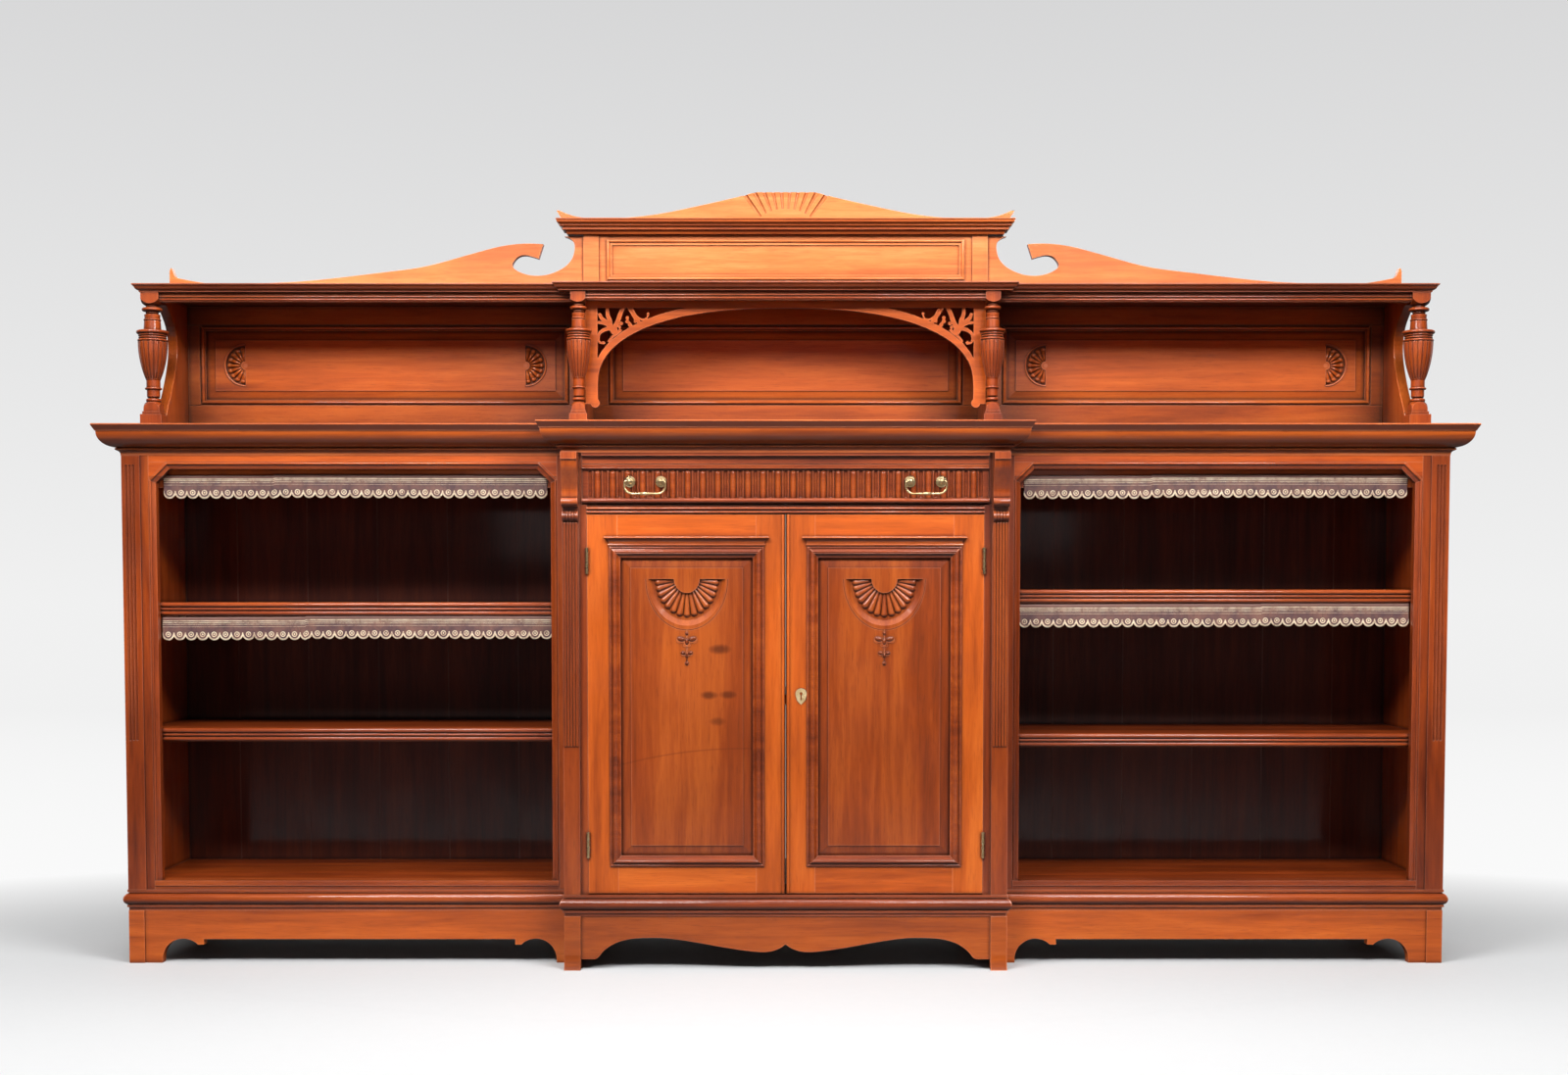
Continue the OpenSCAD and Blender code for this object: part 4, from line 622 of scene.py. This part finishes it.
# Husks that hang under the door shells: x and z from the shell's flat line, half width and half height
husk = {
    "lumps": [(11, -116, 8.4, 5.0), (0, -121, 4.2, 6.6), (0, -105, 3.0, 3.0),
              (6.8, -143, 5.2, 3.6), (0, -147.5, 3.2, 4.6), (0, -163, 3.6, 4.0)],
    "stalks": [(-100, -114), (-124, -141), (-148, -160)],       # top and bottom of each
    "deep": 3.6 * mm, "splay": math.radians(-14), "stalk": 1.1 * mm, "stalkDeep": 1.4 * mm,
    "sunk": 1.2 * mm, "flatDown": 47 * mm,
}
for side, seed in (("left", 83), ("right", 85)):
    carvedLow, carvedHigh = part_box("door_" + side + "_panel")
    middle = (carvedLow.x + carvedHigh.x) / 2
    face = carvedLow.y + husk["sunk"]
    flat = carvedHigh.z - husk["flatDown"]
    shape = bmesh.new()
    for x, z, wide, high in husk["lumps"]:
        for way in ((-1, 1) if x else (0,)):
            pebble(shape, (middle + way * x * mm, face, flat + z * mm), (wide * mm, husk["deep"], high * mm),
                   turn=way * husk["splay"])
    for top, bottom in husk["stalks"]:
        pebble(shape, (middle, face, flat + (top + bottom) / 2 * mm),
               (husk["stalk"], husk["stalkDeep"], (top - bottom) / 2 * mm))
    bmesh.ops.recalc_face_normals(shape, faces=shape.faces[:])
    dress(intoScene("husk_carving_" + side, shape, smooth=True), "door_" + side, "mahogany",
          woodPaint("huskWood" + side, "panel", "z", seed, grimeAndShade=1.6, rubAndHighlight=0.0, gain=0.7, sheen=0.8))

# Leather fringes, gold tooled, in metres
fringe = {
    "drop": 0.046, "scallop": 0.0226, "bulge": 0.0006, "thick": 0.0016, "across": 12, "down": 14,
    "wave": 0.0013, "waveTurns": (9, 23), "sag": 0.0012, "sagTurns": 5,     # turns in radians per metre
    "curl": 0.0004, "step": 0.0018, "splice": 0.004,
    "hide": (0.085, 0.042, 0.046), "rubbedHide": (0.190, 0.088, 0.066), "dryHide": (0.045, 0.022, 0.023),
    "gold": (0.820, 0.690, 0.500), "dullGold": (0.560, 0.400, 0.270),
}
tooling = {
    "crescent": 0.0033, "crescentLow": 0.003, "crescentTop": 0.0035,
    "ring": 0.0044, "ringHalf": 0.0010, "dot": 0.0018,
    "lines": [(0.0385, 0.0008), (0.0352, 0.0006), (0.0268, 0.0003)],    # height and half width
    "bead": 0.0008, "beadPitch": 0.0023, "beadUp": 0.0316,
    "topEdge": (0.039, 0.0415), "relief": 0.0003, "grain": 0.00025,
}


def leatherPaint(name, pitch, seed):
    # the pattern follows the strip map, in metres along and up the strip
    paint = Paint(name)
    along, up, _ = paint.split(paint.node("UVMap", {"uv_map": "strip"}))
    place = paint.place(paint.where(), (seed, 0, 0))
    r = pitch / 2 + fringe["bulge"]
    sideways = ((along / pitch).fraction() - 0.5) * pitch
    above = up - r
    fromMiddle = (sideways * sideways + above * above) ** 0.5
    taper = (above + tooling["crescentLow"]).atLeast(0.0) * 0.35
    crescent = (fromMiddle > r - tooling["crescent"] + taper) * (above < tooling["crescentTop"])
    rosette = (abs(fromMiddle - tooling["ring"]) < tooling["ringHalf"]) + (fromMiddle < tooling["dot"])
    beadSide = ((along / tooling["beadPitch"]).fraction() - 0.5) * tooling["beadPitch"]
    beadUp = up - tooling["beadUp"]
    tooled = crescent + rosette + ((beadSide * beadSide + beadUp * beadUp) ** 0.5 < tooling["bead"])
    for height, half in tooling["lines"]:
        tooled = tooled + (abs(up - height) < half)
    worn = paint.speckle(place, 90, 4, 0.7)
    tooled = tooled.atMost(1.0) * paint.stretch(worn, 0.30, 0.46, 0.35, 1.0)

    mottle = paint.speckle(place, 34, 4, 0.65)
    creases = paint.speckle(paint.place(place, size=(1, 1, 0.25)), 160, 3, 0.6, 0.8)
    hide = paint.blend(paint.stretch(mottle, 0.38, 0.66), fringe["hide"], fringe["rubbedHide"])
    hide = paint.blend(paint.stretch(creases, 0.55, 0.75, 0.0, 0.6), hide, fringe["dryHide"])
    hide = paint.blend(paint.stretch(up, *tooling["topEdge"]) * 0.75, hide, fringe["rubbedHide"])
    gold = paint.blend(paint.stretch(worn, 0.35, 0.6), fringe["dullGold"], fringe["gold"])
    grain = paint.node("TexVoronoi", {"feature": "F1"}, {"Vector": place, "Scale": 900.0})
    relief = paint.bump(grain * 0.35 + creases * 0.6, tooling["grain"])
    return paint.finish({
        "Base Color": paint.blend(tooled, hide, gold), "Metallic": tooled * 0.25,
        "Roughness": paint.stretch(mottle, 0.3, 0.7, 0.36, 0.55) - tooled * 0.1,
        "Normal": paint.bump(1.0 - tooled, tooling["relief"], relief), "Specular IOR Level": 0.4,
    })


def hangFringe(name, node, box, splice, seed):
    # one strip with a scalloped hem that fills the box of its solid; it is stepped down before the splice
    low, high = box
    length = high.x - low.x
    count = round(length / fringe["scallop"])
    pitch = length / count
    r = pitch / 2 + fringe["bulge"]
    dice = random.Random(seed)
    phases = [dice.uniform(0, 6.28) for _ in range(4)]
    longTurn, shortTurn = fringe["waveTurns"]
    strip = bmesh.new()
    bmesh.ops.create_grid(strip, x_segments=count * fringe["across"], y_segments=fringe["down"], size=0.5)
    spread = strip.loops.layers.uv.new("strip")
    hem = {}
    for vertex in strip.verts:
        along = (vertex.co.x + 0.5) * length
        across = along - (math.floor(along / pitch) + 0.5) * pitch
        bottom = r - math.sqrt(max(0.0, r * r - across * across))
        hem[vertex] = (along, bottom + (fringe["drop"] - bottom) * (vertex.co.y + 0.5))
    for face in strip.faces:
        for loop in face.loops:
            loop[spread].uv = hem[loop.vert]
    samples = 2000
    area = 0.0
    for i in range(samples):
        across = ((i + 0.5) / samples - 0.5) * pitch
        area += (fringe["drop"] - r + math.sqrt(r * r - across * across)) * length / samples
    for vertex, (along, up) in hem.items():
        free = 1 - up / fringe["drop"]
        sway = (math.sin(along * longTurn + phases[0]) + 0.6 * math.sin(along * shortTurn + phases[1])) * free
        curl = math.sin(along * 2 * math.pi / pitch + phases[2]) * fringe["curl"] * free ** 3
        dip = fringe["sag"] * math.sin(along * fringe["sagTurns"] + phases[3])
        beyond = max(0.0, min(1.0, (along - splice * length) / fringe["splice"]))
        vertex.co = (low.x + along,
                     (low.y + high.y) / 2 - fringe["wave"] * sway * 0.6 + curl,
                     low.z + up + dip * 0.5 + fringe["step"] * (beyond - 1))
    piece = intoScene(name, strip, smooth=True)
    body = piece.modifiers.new("thickness", "SOLIDIFY")
    body.thickness = fringe["thick"]
    body.offset = 0
    dress(piece, "root", "leather", leatherPaint(name + "Leather", pitch, seed), node)


def fringeBoxes(node):
    # the upper and the lower strip of a side, told apart by their height
    corners = [vertex.co for vertex in nodes[node].data.vertices]
    split = (min(co.z for co in corners) + max(co.z for co in corners)) / 2
    boxes = []
    for strip in ([co for co in corners if co.z > split], [co for co in corners if co.z <= split]):
        boxes.append([Vector(end(co[i] for co in strip) for i in range(3)) for end in (min, max)])
    return boxes


print("hanging the fringes")
for side, splices, seed in (("left", (0.285, 0.365), 4), ("right", (0.33, 0.62), 5)):
    node = "fringes_" + side
    upperBox, lowerBox = fringeBoxes(node)
    hangFringe("upper_fringe_" + side, node, upperBox, splices[0], seed)
    hangFringe("lower_fringe_" + side, node, lowerBox, splices[1], seed + 9)

print("setting the studio")
for lamp in studio["lamps"]:
    data = bpy.data.lights.new(lamp["name"], "AREA")
    data.shape = "RECTANGLE"
    data.size, data.size_y = lamp["size"]
    data.energy = lamp["watts"]
    made = bpy.data.objects.new(lamp["name"], data)
    bpy.context.scene.collection.objects.link(made)
    made.visible_camera = False
    made.location = lamp["place"]
    made.rotation_euler = (Vector(lamp["aim"]) - made.location).to_track_quat("-Z", "Y").to_euler()

# The floor takes the shadow near the piece and turns into the pale backdrop away from it
bpy.ops.mesh.primitive_plane_add(size=studio["floorSize"])
floor = bpy.context.object
floor.name = "floor"
paint = Paint("paleFloor")
place = paint.where()
across, deep, _ = paint.split(place)
grit = paint.stretch(paint.speckle(place, studio["grit"], 2), 0.3, 0.7)
shaded = paint.blend(grit, studio["floor"], dimmed(studio["floor"], 0.985))
seen = paint.rays("Camera")[0]
lit = paint.node("BsdfPrincipled", None, {
    "Base Color": paint.blend(seen, studio["floorBounce"], shaded), "Roughness": studio["floorRough"]})
poolWide, poolDeep = studio["pool"]
away = (across * across / poolWide + deep * deep / poolDeep) ** 0.5
glow = paint.blend(paint.stretch(deep, *studio["floorFade"]), studio["floorNear"], studio["floorFar"])
plain = paint.node("Emission", None, {"Color": glow, "Strength": 1.0})
both = paint.node("MixShader", None, {0: seen * paint.stretch(away, *studio["poolFade"]), 1: lit, 2: plain})
paint.node("OutputMaterial", None, {"Surface": both}, out=None)
floor.data.materials.append(paint.material)

# The backdrop, seen by the camera and in the polish, where it is dark in front of the piece
world = bpy.data.worlds.new("studio")
bpy.context.scene.world = world
world.use_nodes = True
air = Paint(tree=world.node_tree)
_, ahead, rise = air.split(air.node("TexCoord", out="Generated"))
backColour = air.blend(air.stretch(rise, 0.0, studio["backFade"]), studio["backLow"], studio["backHigh"])
seen, glossy = air.rays("Camera", "Glossy")
strength = air.stretch(ahead, 0.0, studio["frontFade"], studio["frontGlow"], 1.0)
backdrop = air.node("Background", None, {"Color": backColour, "Strength": seen.atLeast(strength)})
light = air.node("Background", None, {"Color": studio["air"], "Strength": studio["world"]})
shown = air.node("MixShader", None, {0: seen.atLeast(glossy), 1: light, 2: backdrop})
air.node("OutputWorld", None, {"Surface": shown}, out=None)

lens = bpy.data.cameras.new("camera")
lens.lens = camera["lens"]
lens.sensor_width = camera["sensor"]
lens.shift_x = camera["shiftX"]
lens.shift_y = camera["shiftY"]
eye = bpy.data.objects.new("camera", lens)
bpy.context.scene.collection.objects.link(eye)
eye.location = camera["place"]
eye.rotation_euler = (math.radians(90 - camera["tiltDown"]), 0, 0)
bpy.context.scene.camera = eye
bpy.context.scene.view_settings.view_transform = "Standard"

print("finishing")
